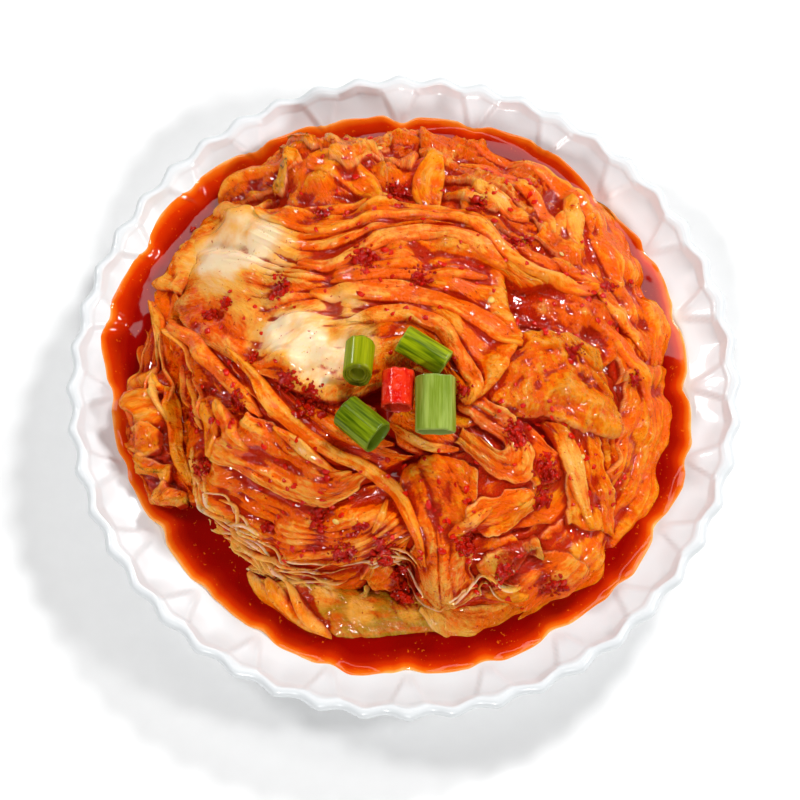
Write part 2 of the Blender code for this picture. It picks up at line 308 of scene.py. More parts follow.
@dataclass
class Quilt:
    """Patches that are joined into one mesh, with a map on which none overlaps another."""

    name: str
    patches: list[Patch] = field(default_factory=list)

    GAP = 0.6
    SLACK = 1.08

    def laid_out(self) -> tuple[list[Point], float]:
        """Places the patches on shelves, the tallest first.

        Returns:
            Each patch's corner on the map, and the side of the square that holds them all.
        """
        sizes = [(patch.size[0] + self.GAP, patch.size[1] + self.GAP) for patch in self.patches]
        side = math.sqrt(sum(wide * tall for wide, tall in sizes)) * self.SLACK
        side = max([side] + [wide for wide, _tall in sizes])
        corners = [(0.0, 0.0)] * len(sizes)
        x = y = shelf = 0.0
        for index in sorted(range(len(sizes)), key=lambda item: -sizes[item][1]):
            wide, tall = sizes[index]
            if x + wide > side:
                x, y, shelf = 0.0, y + shelf, 0.0
            corners[index] = (x, y)
            x, shelf = x + wide, max(shelf, tall)
        return corners, max(side, y + shelf)

    def build(self, slot: str, material: Material, *replaced: str) -> bpy.types.Object:
        """Makes the mesh object.

        Args:
            slot: Its material slot in the record.
            material: Its material.
            replaced: The CAD nodes that it stands for.

        Returns:
            The object, which rides on the root body.
        """
        corners, side = self.laid_out()
        points, faces, places, looks, start = [], [], [], {}, 0
        for patch, corner in zip(self.patches, corners):
            rows, columns = patch.points.shape[:2]
            quads, spots = patch.quads()
            used = np.unique(quads)
            renumber = np.zeros(rows * columns, int)
            renumber[used] = np.arange(len(used)) + start
            points.append(patch.points.reshape(-1, 3)[used])
            faces.append(renumber[quads])
            start += len(used)
            across = columns if patch.wrapped else columns - 1
            shares = spots / np.array([rows - 1, across])
            places.append((shares * np.array(patch.size) + np.array(corner)) / side)
            for name, values in patch.looks.items():
                flat = values.reshape(rows * columns, -1)
                looks.setdefault(name, []).append(flat[used])
        mesh = mesh_of(self.name, np.vstack(points), np.vstack(faces))
        layer = mesh.uv_layers.new(name="OFBake")
        layer.uv.foreach_set("vector", np.vstack(places).astype(np.float32).ravel())
        for name, values in looks.items():
            add_look(mesh, name, np.vstack(values))
        return add_piece(mesh, slot, material, *replaced)


def mesh_of(name: str, points: Array, faces: Array) -> bpy.types.Mesh:
    """Makes a smooth mesh.

    Args:
        name: The mesh's name.
        points: Its points in metres, one a row.
        faces: The points of each face, one face a row.

    Returns:
        The mesh.
    """
    mesh = bpy.data.meshes.new(name)
    width = faces.shape[1]
    mesh.vertices.add(len(points))
    mesh.vertices.foreach_set("co", points.astype(np.float32).ravel())
    mesh.loops.add(faces.size)
    mesh.loops.foreach_set("vertex_index", faces.astype(np.int32).ravel())
    mesh.polygons.add(len(faces))
    mesh.polygons.foreach_set("loop_start", np.arange(0, faces.size, width, dtype=np.int32))
    mesh.update(calc_edges=True)
    mesh.shade_smooth()
    return mesh


def add_look(mesh: bpy.types.Mesh, name: str, values: Array) -> None:
    """Stores the number or vector that a finish reads by this name at each vertex, one a row."""
    kind, key = {1: ("FLOAT", "value"), 3: ("FLOAT_VECTOR", "vector")}[values.shape[1]]
    mesh.attributes.new(name, kind, "POINT").data.foreach_set(key, values.astype(np.float32).ravel())


def node_points(name: str) -> Array:
    """Reads a CAD node's solid.

    Args:
        name: The node.

    Returns:
        Its corners in metres, one a row.
    """
    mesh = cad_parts[name].data
    points = np.empty(len(mesh.vertices) * 3, np.float32)
    mesh.vertices.foreach_get("co", points)
    return points.reshape(-1, 3)


def add_piece(mesh: bpy.types.Mesh, slot: str, material: Material, *replaced: str) -> bpy.types.Object:
    """Puts a mesh in the scene as a piece of the dish.

    Args:
        mesh: The mesh.
        slot: Its material slot in the record; not used.
        material: Its material.
        replaced: The CAD nodes that it stands for.

    Returns:
        The object, which rides on the root body.
    """
    mesh.materials.append(material)
    piece = bpy.data.objects.new(mesh.name, mesh)
    bpy.context.scene.collection.objects.link(piece)
    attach(piece, "root")
    if replaced:
        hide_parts(*replaced)
    log.info("%s: %d faces", piece.name, len(mesh.polygons))
    return piece


# ---- shader maths


class Value:
    """A socket of a material's graph that takes part in arithmetic."""

    def __init__(self, graph: Graph, socket: bpy.types.NodeSocket) -> None:
        """Wraps a socket of the graph."""
        self.graph = graph
        self.socket = socket

    def _with(self, operation: str, first: Value | float, second: Value | float = 0.0) -> Value:
        """A Math node on two values."""
        return self.graph.node("ShaderNodeMath", {"operation": operation}, {0: first, 1: second})

    def __add__(self, other: Value | float) -> Value:
        """Sum."""
        return self._with("ADD", self, other)

    __radd__ = __add__

    def __sub__(self, other: Value | float) -> Value:
        """Difference."""
        return self._with("SUBTRACT", self, other)

    def __rsub__(self, other: Value | float) -> Value:
        """Difference, reflected."""
        return self._with("SUBTRACT", other, self)

    def __mul__(self, other: Value | float) -> Value:
        """Product."""
        return self._with("MULTIPLY", self, other)

    __rmul__ = __mul__

    def __truediv__(self, other: Value | float) -> Value:
        """Quotient."""
        return self._with("DIVIDE", self, other)

    def step(self, low: float, high: float) -> Value:
        """0 below low, 1 above high and an even curve between."""
        ends = {"Value": self, "From Min": low, "From Max": high}
        return self.graph.node("ShaderNodeMapRange", {"interpolation_type": "SMOOTHSTEP"}, ends)

    def clipped(self) -> Value:
        """The value held between 0 and 1."""
        return self.graph.node("ShaderNodeClamp", {}, {"Value": self})


class Graph:
    """A material and the nodes that make its finish."""

    def __init__(self, name: str) -> None:
        """Starts a material with a Principled shader.

        Args:
            name: The material's name.
        """
        self.material = bpy.data.materials.new(name)
        self.material.use_nodes = True
        self.tree = self.material.node_tree
        self.shader = self.tree.nodes["Principled BSDF"]

    def put(self, socket: bpy.types.NodeSocket, content: object) -> None:
        """Links a value to a socket, or sets the socket's own number or colour.

        Args:
            socket: The socket.
            content: A value of the graph, a number, a vector or a colour.
        """
        if isinstance(content, Value):
            self.tree.links.new(content.socket, socket)
        elif isinstance(content, tuple) and len(content) == 3 and socket.type == "RGBA":
            socket.default_value = (*content, 1.0)
        else:
            socket.default_value = content

    def node(
        self, kind: str, settings: dict[str, object], sockets: dict[object, object], output: int | str = 0
    ) -> Value:
        """Adds a node.

        Args:
            kind: The node's type.
            settings: Its own properties, set first; "stops" are a colour ramp's places and colours.
            sockets: What its inputs hold, by name or number.
            output: The output to return, by name or number.

        Returns:
            That output.
        """
        made = self.tree.nodes.new(kind)
        for name, setting in settings.items():
            if name == "stops":
                ramp = made.color_ramp
                while len(ramp.elements) < len(setting):
                    ramp.elements.new(0.5)
                for element, (place, colour) in zip(ramp.elements, setting):
                    element.position = place
                    element.color = (*colour, 1.0)
            else:
                setattr(made, name, setting)
        for name, content in sockets.items():
            self.put(made.inputs[name], content)
        return Value(self, made.outputs[output])

    def look(self, name: str, output: str = "Fac") -> Value:
        """What the mesh stores under this name."""
        return self.node("ShaderNodeAttribute", {"attribute_name": name}, {}, output)

    def looks(self, name: str) -> list[Value]:
        """The three numbers that the mesh stores under this name."""
        split = self.node("ShaderNodeSeparateXYZ", {}, {0: self.look(name, "Vector")})
        return [Value(self, output) for output in split.socket.node.outputs]

    def scaled(self, vector: Value, factors: Triple) -> Value:
        """A vector with each part multiplied."""
        return self.node("ShaderNodeVectorMath", {"operation": "MULTIPLY"}, {0: vector, 1: factors})

    def place(self) -> Value:
        """The point's own place on the object, in metres."""
        return self.node("ShaderNodeTexCoord", {}, {}, "Object")

    def noise(self, vector: Value, scale: float, detail: float = 3.0, roughness: float = 0.55) -> Value:
        """Noise from 0 to 1 about 0.5."""
        sockets = {"Vector": vector, "Scale": scale, "Detail": detail, "Roughness": roughness}
        return self.node("ShaderNodeTexNoise", {}, sockets)

    def mix(self, share: Value | float, first: Value | Colour, second: Value | Colour) -> Value:
        """The first colour at share 0 and the second at 1."""
        settings = {"data_type": "RGBA", "clamp_factor": True}
        return self.node("ShaderNodeMix", settings, {0: share, 6: first, 7: second}, 2)

    def bump(self, height: Value, distance: float, strength: float, under: Value | None = None) -> Value:
        """A normal that follows a height, in metres at height 1, laid on the normal under it."""
        sockets = {"Height": height, "Distance": distance, "Strength": strength}
        return self.node("ShaderNodeBump", {}, sockets | ({"Normal": under} if under else {}))

    def finish(self, **sockets: object) -> Material:
        """Sets the shader's sockets.

        Args:
            sockets: What they hold, by name with _ for a space.

        Returns:
            The material.
        """
        for name, content in sockets.items():
            self.put(self.shader.inputs[name.replace("_", " ")], content)
        return self.material


# ---- finishes


@dataclass(frozen=True)
class CabbageFinish:
    """Wet fermented cabbage: orange blade, cream rib, sauce and painted shade in the folds, painted highlight
    on crests and rims.
    """

    name: str = "cabbage_leaf"
    deep: Colour = (0.74, 0.045, 0.0)
    orange: Colour = (0.93, 0.12, 0.0)
    gold: Colour = (0.98, 0.28, 0.002)
    cream: Colour = (0.97, 0.42, 0.07)
    white: Colour = (0.97, 0.72, 0.44)
    lace: Colour = (0.90, 0.54, 0.37)
    moss: Colour = (0.88, 0.50, 0.05)
    amber: Colour = (0.95, 0.40, 0.045)
    # sauce: the red of sauce in the leaves; through the cavity it also paints shade in the creases
    sauce: Colour = (0.50, 0.010, 0.0)
    # edge: the paler colour of thin leaf edges, which also paints a highlight along the rims
    edge: Colour = (0.97, 0.45, 0.16)
    green: Colour = (0.52, 0.30, 0.01)
    roughness: float = 0.11

    def material(self) -> Material:
        """Builds the material.

        The mesh stores "make" (pale, tone, ridge), "lie" (cavity, crest, red), "kind" (thin, green, washed)
        and "grain", a place along and across the fibres in millimetres.

        Returns:
            The material.
        """
        g = Graph(self.name)
        pale, tone, ridge = g.looks("make")
        cavity, crest, red = g.looks("lie")
        thin, green, clean = g.looks("kind")
        grain = g.look("grain", "Vector")
        fibres = g.noise(g.scaled(grain, (0.08, 0.8, 1.0)), 1.0, 4.0, 0.6) - 0.5
        fine = g.noise(g.scaled(grain, (0.22, 1.3, 1.0)), 1.0, 2.0, 0.5) - 0.5
        pucker = g.noise(g.scaled(grain, (0.45, 0.75, 1.0)), 1.0, 2.5, 0.55) - 0.5
        blotch = g.noise(grain, 0.13, 4.0, 0.6) - 0.5
        spots = g.noise(grain, 1.1, 3.0, 0.6) - 0.5
        raised = (pucker * 0.9 + fine * 0.6) * (1.2 - clean * 1.4).clipped()
        # crest and ridge raise the tone to gold on the tops of folds, and crest adds cream below: painted
        # highlight on the crests
        warm = tone * 0.7 + fibres * 0.5 + blotch * 1.3 + raised * 0.9 + crest * 0.35 + ridge * 0.15
        stops = ((0.0, self.deep), (0.35, self.orange), (0.60, self.orange), (1.0, self.gold))
        base = g.node("ShaderNodeValToRGB", {"stops": stops}, {0: warm.clipped()})
        # cavity takes cream out of the creases: painted shade
        paleness = pale + fibres * 0.5 + blotch * 1.0 + crest * 0.25 + raised * 0.9 - cavity * 0.5
        washed = clean + blotch * 1.0 + spots * 0.15 + fibres * 0.18 + raised * 0.2
        # cavity brings the sauce colour into the creases: sauce that gathers there, and painted shade in them
        sauce_and_shade = cavity * 1.1 + red + spots * 0.45 + fibres * 0.3 - raised * 0.5 - clean * 0.5
        sauce_and_shade = sauce_and_shade.step(0.38, 1.0)
        flecks = g.noise(g.place(), 620.0, 2.0, 0.6)
        for share, colour in (
            (paleness.step(0.25, 1.0), self.cream),
            ((paleness + spots * 0.8).step(1.0, 1.6), self.lace),
            (green * (blotch + 0.6).step(0.3, 0.8), self.green),
            (washed.step(0.10, 0.48), self.amber),
            (washed.step(0.36, 1.05), self.white),
            (clean * (spots - blotch * 0.5).step(0.10, 0.30) * 0.6, self.moss),
            # thin leaf edges turn pale: their own paler colour, and a painted rim highlight
            (thin * (spots * 2.4 + blotch * 1.6 + 0.55).clipped(), self.edge),
            # sauce red in the creases, part of it painted shade
            (sauce_and_shade * 0.92, self.sauce),
            ((flecks + red * 0.05 + cavity * 0.04).step(0.68, 0.72) * 0.8, self.sauce),
        ):
            base = g.mix(share, base, colour)
        rough = (1.15 - clean * 1.6).clipped()
        normal = None
        for height, distance in ((fine, 0.0005), (pucker, 0.0020), (spots, 0.0007)):
            normal = g.bump(height * rough, distance, 0.8, normal)
        gloss = self.roughness - sauce_and_shade * 0.05
        return g.finish(
            Base_Color=base,
            Roughness=gloss.clipped(),
            Normal=normal,
            Subsurface_Weight=0.4,
            Subsurface_Radius=(1.0, 0.18, 0.04),
            Subsurface_Scale=0.004,
            Coat_Weight=(0.28 + sauce_and_shade * 0.5).clipped(),
            Coat_Roughness=0.03,
            Specular_IOR_Level=0.09,
        )


@dataclass(frozen=True)
class SauceFinish:
    """Red chilli sauce: dark where it is deep and orange where it thins out."""

    name: str = "sauce"
    deep: Colour = (0.26, 0.001, 0.0)
    dark: Colour = (0.36, 0.006, 0.0)
    red: Colour = (0.60, 0.028, 0.0)
    thin: Colour = (0.82, 0.15, 0.004)
    edge: Colour = (0.93, 0.45, 0.12)

    def material(self) -> Material:
        """Builds the material; the mesh stores "depth" in millimetres.

        Returns:
            The material.
        """
        g = Graph(self.name)
        depth = g.look("depth")
        place = g.place()
        grain = g.noise(place, 260.0, 4.0, 0.6)
        cloud = g.noise(place, 45.0, 3.0, 0.5)
        level = (depth / 4.2 + (cloud - 0.5) * 0.25 + (grain - 0.5) * 0.10).clipped()
        colours = (self.edge, self.thin, self.red, self.dark, self.deep)
        stops = tuple(zip((0.0, 0.12, 0.30, 0.55, 0.85), colours))
        colour = g.node("ShaderNodeValToRGB", {"stops": stops}, {0: level})
        flecks = g.noise(place, 700.0, 2.0).step(0.66, 0.73) * 0.5
        colour = g.mix(flecks, colour, self.thin)
        return g.finish(
            Base_Color=colour,
            Roughness=0.05,
            Specular_IOR_Level=0.36,
            Subsurface_Weight=0.1,
            Subsurface_Radius=(1.0, 0.15, 0.05),
            Subsurface_Scale=0.0015,
        )


@dataclass(frozen=True)
class PlainFinish:
    """A finish of two shades that blend in clouds, with an optional glossy coat."""

    name: str
    first: Colour
    second: Colour
    roughness: float
    scale: float = 200.0
    coat: float = 0.0

    def material(self) -> Material:
        """Builds the material.

        Returns:
            The material.
        """
        g = Graph(self.name)
        cloud = g.noise(g.place(), self.scale, 3.0)
        colour = g.mix(cloud.step(0.3, 0.7), self.first, self.second)
        sockets: dict[str, object] = {"Base_Color": colour, "Roughness": self.roughness}
        if self.coat:
            sockets |= {"Coat_Weight": self.coat, "Coat_Roughness": 0.04}
        else:
            sockets["Specular_IOR_Level"] = 0.3
        return g.finish(**sockets)


@dataclass(frozen=True)
class ScallionFinish:
    """Scallion green: fibres along the tube, paler layers inside and at the cut."""

    name: str
    outer: Colour
    streak: Colour
    inner: Colour

    def material(self) -> Material:
        """Builds the material.

        The mesh stores "grain", a place along and around the tube in millimetres, and "cut", which is 1 at
        the ends and inside.

        Returns:
            The material.
        """
        g = Graph(self.name)
        grain = g.look("grain", "Vector")
        cut = g.look("cut")
        fibres = g.noise(g.scaled(grain, (0.10, 1.6, 1.0)), 1.0, 3.0, 0.6)
        broad = g.noise(g.scaled(grain, (0.05, 0.35, 1.0)), 1.0, 2.0)
        colour = g.mix((fibres * 0.4 + broad * 0.7).step(0.38, 0.74), self.outer, self.streak)
        colour = g.mix(cut, colour, self.inner)
        normal = g.bump(fibres, 0.00025, 0.5)
        return g.finish(
            Base_Color=colour,
            Roughness=(0.30 + (fibres - 0.5) * 0.2).clipped(),
            Normal=normal,
            Specular_IOR_Level=0.07,
            Coat_Weight=0.22,
            Coat_Roughness=0.04,
            Subsurface_Weight=0.1,
            Subsurface_Radius=(0.4, 1.0, 0.1),
            Subsurface_Scale=0.001,
        )


@dataclass(frozen=True)
class ChilliFinish:
    """Glossy red chilli skin with pale red flesh at the cut."""

    name: str = "chilli_skin"
    skin: Colour = (0.66, 0.004, 0.001)
    bright: Colour = (0.84, 0.035, 0.006)
    flesh: Colour = (0.62, 0.03, 0.01)

    def material(self) -> Material:
        """Builds the material; the mesh stores "grain" and "cut" as for the scallions.

        Returns:
            The material.
        """
        g = Graph(self.name)
        grain = g.look("grain", "Vector")
        cloud = g.noise(grain, 0.35, 3.0)
        colour = g.mix(cloud.step(0.35, 0.65), self.skin, self.bright)
        colour = g.mix(g.look("cut"), colour, self.flesh)
        dents = g.noise(grain, 0.5, 2.0)
        return g.finish(
            Base_Color=colour,
            Roughness=0.16,
            Normal=g.bump(dents, 0.0005, 0.8),
            Specular_IOR_Level=0.4,
        )


# ---- the dome and its map


class Ground:
    """A surface on a map of its own, on which leaves are laid."""

    CELL = 0.5
    COARSE = 1.0

    def __init__(self, half: float, place: Callable[[Array, Array], Array]) -> None:
        """Works out where the map's cells lie.

        Args:
            half: Half the side of the map.
            place: Gives the place in millimetres of each point of the map.
        """
        self.half = half
        places = place(*Grid.level(half, self.COARSE).spots())
        self.place_grid = Grid(half, self.COARSE, places)
        normal = unit(np.cross(np.gradient(places, axis=0), np.gradient(places, axis=1)))
        self.normal_grid = Grid(half, self.COARSE, normal).softened(2.0)
        self.top = Grid.level(half, self.CELL)

    def unroll(self, points: Sequence[Point]) -> Array:
        """Plan points in millimetres as points of the map."""
        return np.array(points, float)

    def raised(self, a: Array, b: Array, height: Array) -> Array:
        """Points in metres that stand this high above the surface."""
        normals = unit(self.normal_grid.read(a, b))
        return (self.place_grid.read(a, b) + normals * height[..., None]) * MM


class Bank(Ground):
    """The low bank of food beside the heap, whose map is the plan itself."""

    HALF = 100.0

    def __init__(self, middle: float, reach: float, crest: float, foot: float) -> None:
        """Works out the bank.

        Args:
            middle: The radius at which the bank is highest.
            reach: How far it falls off on both sides.
            crest: Its greatest height.
            foot: The height it falls to.
        """

        def place(a: Array, b: Array) -> Array:
            """The bank's surface over plan points."""
            away = (np.hypot(a, b) - middle) / reach
            return np.stack([a, b, foot + (crest - foot) * np.exp(-(away**2))], axis=-1)

        super().__init__(self.HALF, place)


class Dome(Ground):
    """A rounded heap, unrolled about its top so that distances from the middle are true."""

    HALF = 135.0
    HEM = 12.0
    ROUNDNESS = 2.5
    FALL = 0.62
    STEP = 0.5
    FARTHEST = 200

    def __init__(self, centre: Point, outline: Array, inset: float, top: float, foot: float) -> None:
        """Works out the map.

        Args:
            centre: The middle in plan.
            outline: The radius of the finished heap at even steps of angle from +X.
            inset: How much smaller the core is than the outline.
            top: Height of the core's top.
            foot: Height at which its sides end.
        """
        self.centre = np.array(centre)
        self.outline = np.append(outline, outline[0])
        self.core = self.outline - inset
        self.reach = np.arange(0, self.FARTHEST, self.STEP)
        share = np.sin(np.linspace(0, math.pi / 2, 160))
        drop = (1 - share**self.ROUNDNESS).clip(0) ** self.FALL
        radii, heights, self.ends = [], [], []
        for radius in self.core:
            r, z = share * radius, foot + (top - foot) * drop
            arc = np.concatenate([[0], np.cumsum(np.hypot(np.diff(r), np.diff(z)))])
            self.ends.append(arc[-1])
            radii.append(np.interp(self.reach, arc, r))
            heights.append(np.interp(self.reach, arc, z) - (self.reach - arc[-1]).clip(0))
        self.radii, self.heights = np.array(radii), np.array(heights)
        super().__init__(min(self.HALF, max(self.ends) + self.HEM), self._place)

    def _row(self, angle: Array) -> Array:
        """The row of the outline for an angle, with its fraction."""
        return (angle % TAU) / TAU * (len(self.outline) - 1)

    def _place(self, a: Array, b: Array) -> Array:
        """Where points of the map lie on the core.

        Args:
            a: The first map coordinate of each point.
            b: The second.

        Returns:
            Their places in millimetres.
        """
        angle, reach = np.arctan2(b, a), np.hypot(a, b)
        row = self._row(angle)
        r0 = np.minimum(row.astype(int), len(self.outline) - 2)
        column = np.minimum(reach / self.STEP, len(self.reach) - 1.001)
        c0 = column.astype(int)
        tables = (self.radii, self.heights)
        radius, height = (between(table, r0, c0, row - r0, column - c0) for table in tables)
        place = np.stack([radius * np.cos(angle), radius * np.sin(angle), height], axis=-1)
        place[..., :2] += self.centre
        return place

    def unroll(self, points: Sequence[Point]) -> Array:
        """Moves points from the plan to the map.

        Args:
            points: Plan points in millimetres, taken at the finished heap's size.

        Returns:
            The same points on the map, one a row.
        """
        out = []
        for x, y in points:
            dx, dy = x - self.centre[0], y - self.centre[1]
            angle, radius = math.atan2(dy, dx), math.hypot(dx, dy)
            row = self._row(np.array(angle))
            i = min(int(row), len(self.outline) - 2)
            u = float(row) - i
            sizes = (self.outline, self.core, self.ends)
            full, core, end = (size[i] * (1 - u) + size[i + 1] * u for size in sizes)
            share = radius / full
            rising = int(self.ends[i] / self.STEP) + 1
            reach = float(np.interp(min(share, 1.0) * core, self.radii[i][:rising], self.reach[:rising]))
            if share > 1:
                reach = end + (share - 1) * full
            out.append((reach * math.cos(angle), reach * math.sin(angle)))
        return np.array(out)


# ---- leaves


def spotted(points: Array, spots: Sequence[Spot]) -> Array:
    """How strongly points lie within round spots of the plan, each with a soft edge.

    Args:
        points: The points in metres.
        spots: The spots: the middle in plan, the radius and the strength of each.

    Returns:
        The sum of the strengths at each point.
    """
    total = np.zeros(points.shape[:-1])
    for (x, y), radius, strength in spots:
        away = np.hypot(points[..., 0] / MM - x, points[..., 1] / MM - y)
        total = total + strength * (1 - smooth(radius * 0.45, radius * 1.2, away))
    return total


class Blade(Enum):
    """How the surface of a leaf is folded."""

    RIBBED = "parallel rounded fibres"
    CRUMPLED = "soft folds with a wrinkled blade between"


@dataclass(frozen=True)
class Leaf:
    """A leaf that is laid between guides, or along one line at a given width.

    It has so many folds of a certain depth from guide to guide, with a wrinkle on them. Tone runs from deep
    orange to golden, pale, at its two ends, towards cream, and thin is how pale its edge is: partly the thin
    edge's own paler colour and partly a painted rim highlight. Where it has a start, its folds grow until
    that share of its length.
    """

    guides: tuple[tuple[Point, ...], ...]
    blade: Blade = Blade.CRUMPLED
    width: float = 0.0
    folds: float = 1.0
    depth: float = 1.3
    wrinkle: float = 1.0
    thick: float = 0.5
    lift: float = 0.0
    pale: tuple[float, float] = (0.1, 0.1)
    tone: float = 0.5
    thin: float = 0.5
    green: float = 0.0
    red: float = 0.0
    ruffle: float = 1.0
    taper: float = 8.0
    start: float = 0.0
    seed: int = 1


@dataclass
class Layer:
    """A leaf's points on the map while it is being laid."""

    a: Array
    b: Array
    along: Array
    across: Array
    width: Array
    fold: Array
    length: float

    @classmethod
    def of(cls, spots: Array, along: Array, across: Array, fold: Array) -> Layer:
        """Fills in a layer.

        Args:
            spots: The points of the map.
            along: How far along the leaf each row is.
            across: How far across it each point is.
            fold: Where each point, or each column, lies in the leaf's folds.

        Returns:
            The layer.
        """
        widths = (along[:, None], across, across[:, -1:], fold)
        spread = (np.broadcast_to(values, across.shape) for values in widths)
        return cls(spots[..., 0], spots[..., 1], *spread, float(along[-1]))


class Layup:
    """Lays leaves over one another on the ground.

    ALONG and ACROSS are the steps of a leaf's grid in millimetres, which coarse widens for strips of leaf.
    """

    ALONG, ACROSS = 0.76, 0.42
    SKIRT = 2.4
    RIM = 0.7

    def __init__(self, ground: Ground) -> None:
        """Starts with bare ground.

        Args:
            ground: The ground.
        """
        self.ground = ground
        self.patches: list[Patch] = []
        self.coarse = 1.0

    def strip(self, leaf: Leaf, line: Array) -> Layer:
        """Spreads a leaf's grid on both sides of a line.

        Args:
            leaf: The leaf.
            line: The line, as points of the map.

        Returns:
            The grid.
        """
        rows = max(8, int(run_length(curve_through(line, 40)) / self.ALONG / self.coarse))
        line = curve_through(line, rows)
        length = run_length(line)
        along = np.linspace(0, length, rows)
        ends = np.minimum(along, length - along)
        narrow = np.clip(ends / leaf.taper * 1.3, 0.08, 1.0) ** 0.45
        wander = [1 + 0.28 * fractal(along / 13, 0.0, leaf.seed + k, 2)[:, None] for k in (0, 40)]
        columns = max(7, int(leaf.width / self.ACROSS / self.coarse))
        share = np.linspace(-0.5, 0.5, columns)[None, :]
        offset = share * (np.where(share < 0, *wander) * (narrow * leaf.width)[:, None])
        spots = line[:, None, :] + leftward(line)[:, None, :] * offset[..., None]
        return Layer.of(spots, along, offset - offset[:, :1], (share + 0.5) * leaf.folds)

    def loft(self, leaf: Leaf, lines: list[Array]) -> Layer:
        """Spreads a leaf's grid between lines, each of which is the crest of a fold.

        Args:
            leaf: The leaf.
            lines: The lines, each as points of the map.

        Returns:
            The grid.
        """
        length = max(run_length(curve_through(line, 40)) for line in lines)
        rows = max(8, int(length / self.ALONG))
        stack = np.stack([curve_through(line, rows) for line in lines], axis=0)
        gaps = np.linalg.norm(np.diff(stack, axis=0), axis=2).sum(axis=0)
        knots = np.linspace(0, len(lines) - 1, max(8, int(gaps.max() / self.ACROSS)))
        padded = np.concatenate([2 * stack[:1] - stack[1:2], stack, 2 * stack[-1:] - stack[-2:-1]])
        low = np.minimum(knots.astype(int), len(lines) - 2)
        spots = spline(*(padded[low + k] for k in range(4)), (knots - low)[:, None, None])
        spots = spots.transpose(1, 0, 2)
        steps = np.linalg.norm(np.diff(spots, axis=1), axis=2)
        across = np.concatenate([np.zeros((rows, 1)), np.cumsum(steps, axis=1)], axis=1)
        return Layer.of(spots, np.linspace(0, length, rows), across, knots[None, :] * leaf.folds + 0.5)

    def ruffled(self, leaf: Leaf, layer: Layer) -> None:
        """Makes a leaf's edges wavy.

        Args:
            leaf: The leaf.
            layer: Its grid, whose points are moved.
        """
        spots = np.stack([layer.a, layer.b], axis=-1)
        for axis, place, extent in ((1, layer.across, layer.width), (0, layer.along, layer.length)):
            outward = unit(np.gradient(spots, axis=axis))
            near = np.exp(-np.minimum(place, extent - place) / 5.0) * np.sign(place - extent / 2)
            wave = fractal(layer.a / 8, layer.b / 8, leaf.seed + 3 + axis)
            spots = spots + outward * (leaf.ruffle * 3.2 * wave * near)[..., None]
        layer.a, layer.b = spots[..., 0], spots[..., 1]

    def _folds(self, leaf: Leaf, layer: Layer) -> tuple[Array, Array, Array]:
        """A leaf's own relief.

        Args:
            leaf: The leaf.
            layer: Its grid.

        Returns:
            The height, how far up its fold each point is, and each fold's own shade.
        """
        u, v, seed = layer.along, layer.across, leaf.seed
        place = layer.fold + 0.20 * noise(layer.fold * 0.8, u / 17, seed)
        place = place + 0.08 * noise(v / 3, u / 7, seed + 1)
        index = np.floor(place)
        part = place - index
        arch = (4 * part * (1 - part)).clip(0) ** (0.55 if leaf.blade is Blade.RIBBED else 0.8)
        own = scatter(index, np.full_like(index, seed), seed)
        swell = 0.8 + 0.5 * noise(u / 15, index * 7.3, seed + 2)
        relief = leaf.depth * arch * (0.55 + 0.45 * own) * swell
        strands = 1 - np.abs(noise(u / 26, v / 1.7 + 1.3 * noise(u / 12, v / 6, seed + 3), seed + 4))
        relief = relief + 0.55 * strands**2
        if leaf.blade is Blade.RIBBED:
            creases = 1 - np.abs(noise(u / 22, place * 1.7 + noise(u / 14, place, seed + 14), seed + 15))
            relief = relief + 0.3 * leaf.depth * creases**2 + 0.3 * noise(u / 5, v / 3, seed + 16)
        else:
            du, dv = 3.0 * noise(u / 12, v / 8, seed + 5), 2.4 * noise(u / 10, v / 7, seed + 6)
            fold = 1 - np.abs(noise((u + du) / 8, (v + dv) / 4.5, seed + 7))
            crease = 1 - np.abs(noise((u + 2 * du) / 3.6, (v + 2 * dv) / 2.4, seed + 8))
            fine = 1 - np.abs(noise((u + du) / 2.1, (v + dv) / 1.3, seed + 13))
            crumple = 1.2 * fold**2.5 + 0.7 * crease**2 + 0.35 * fine**2
            relief = relief + leaf.wrinkle * (crumple + 0.9 * noise(u / 9, v / 7, seed + 9))
        if leaf.start:
            grown = smooth(leaf.start * 0.45, leaf.start, u / layer.length)
            swollen = 1.3 * fractal(u / 30, v / 14, seed + 10, 2)
            relief = relief * grown + swollen * (1 - grown)
            arch = arch * grown
        return relief, arch, own

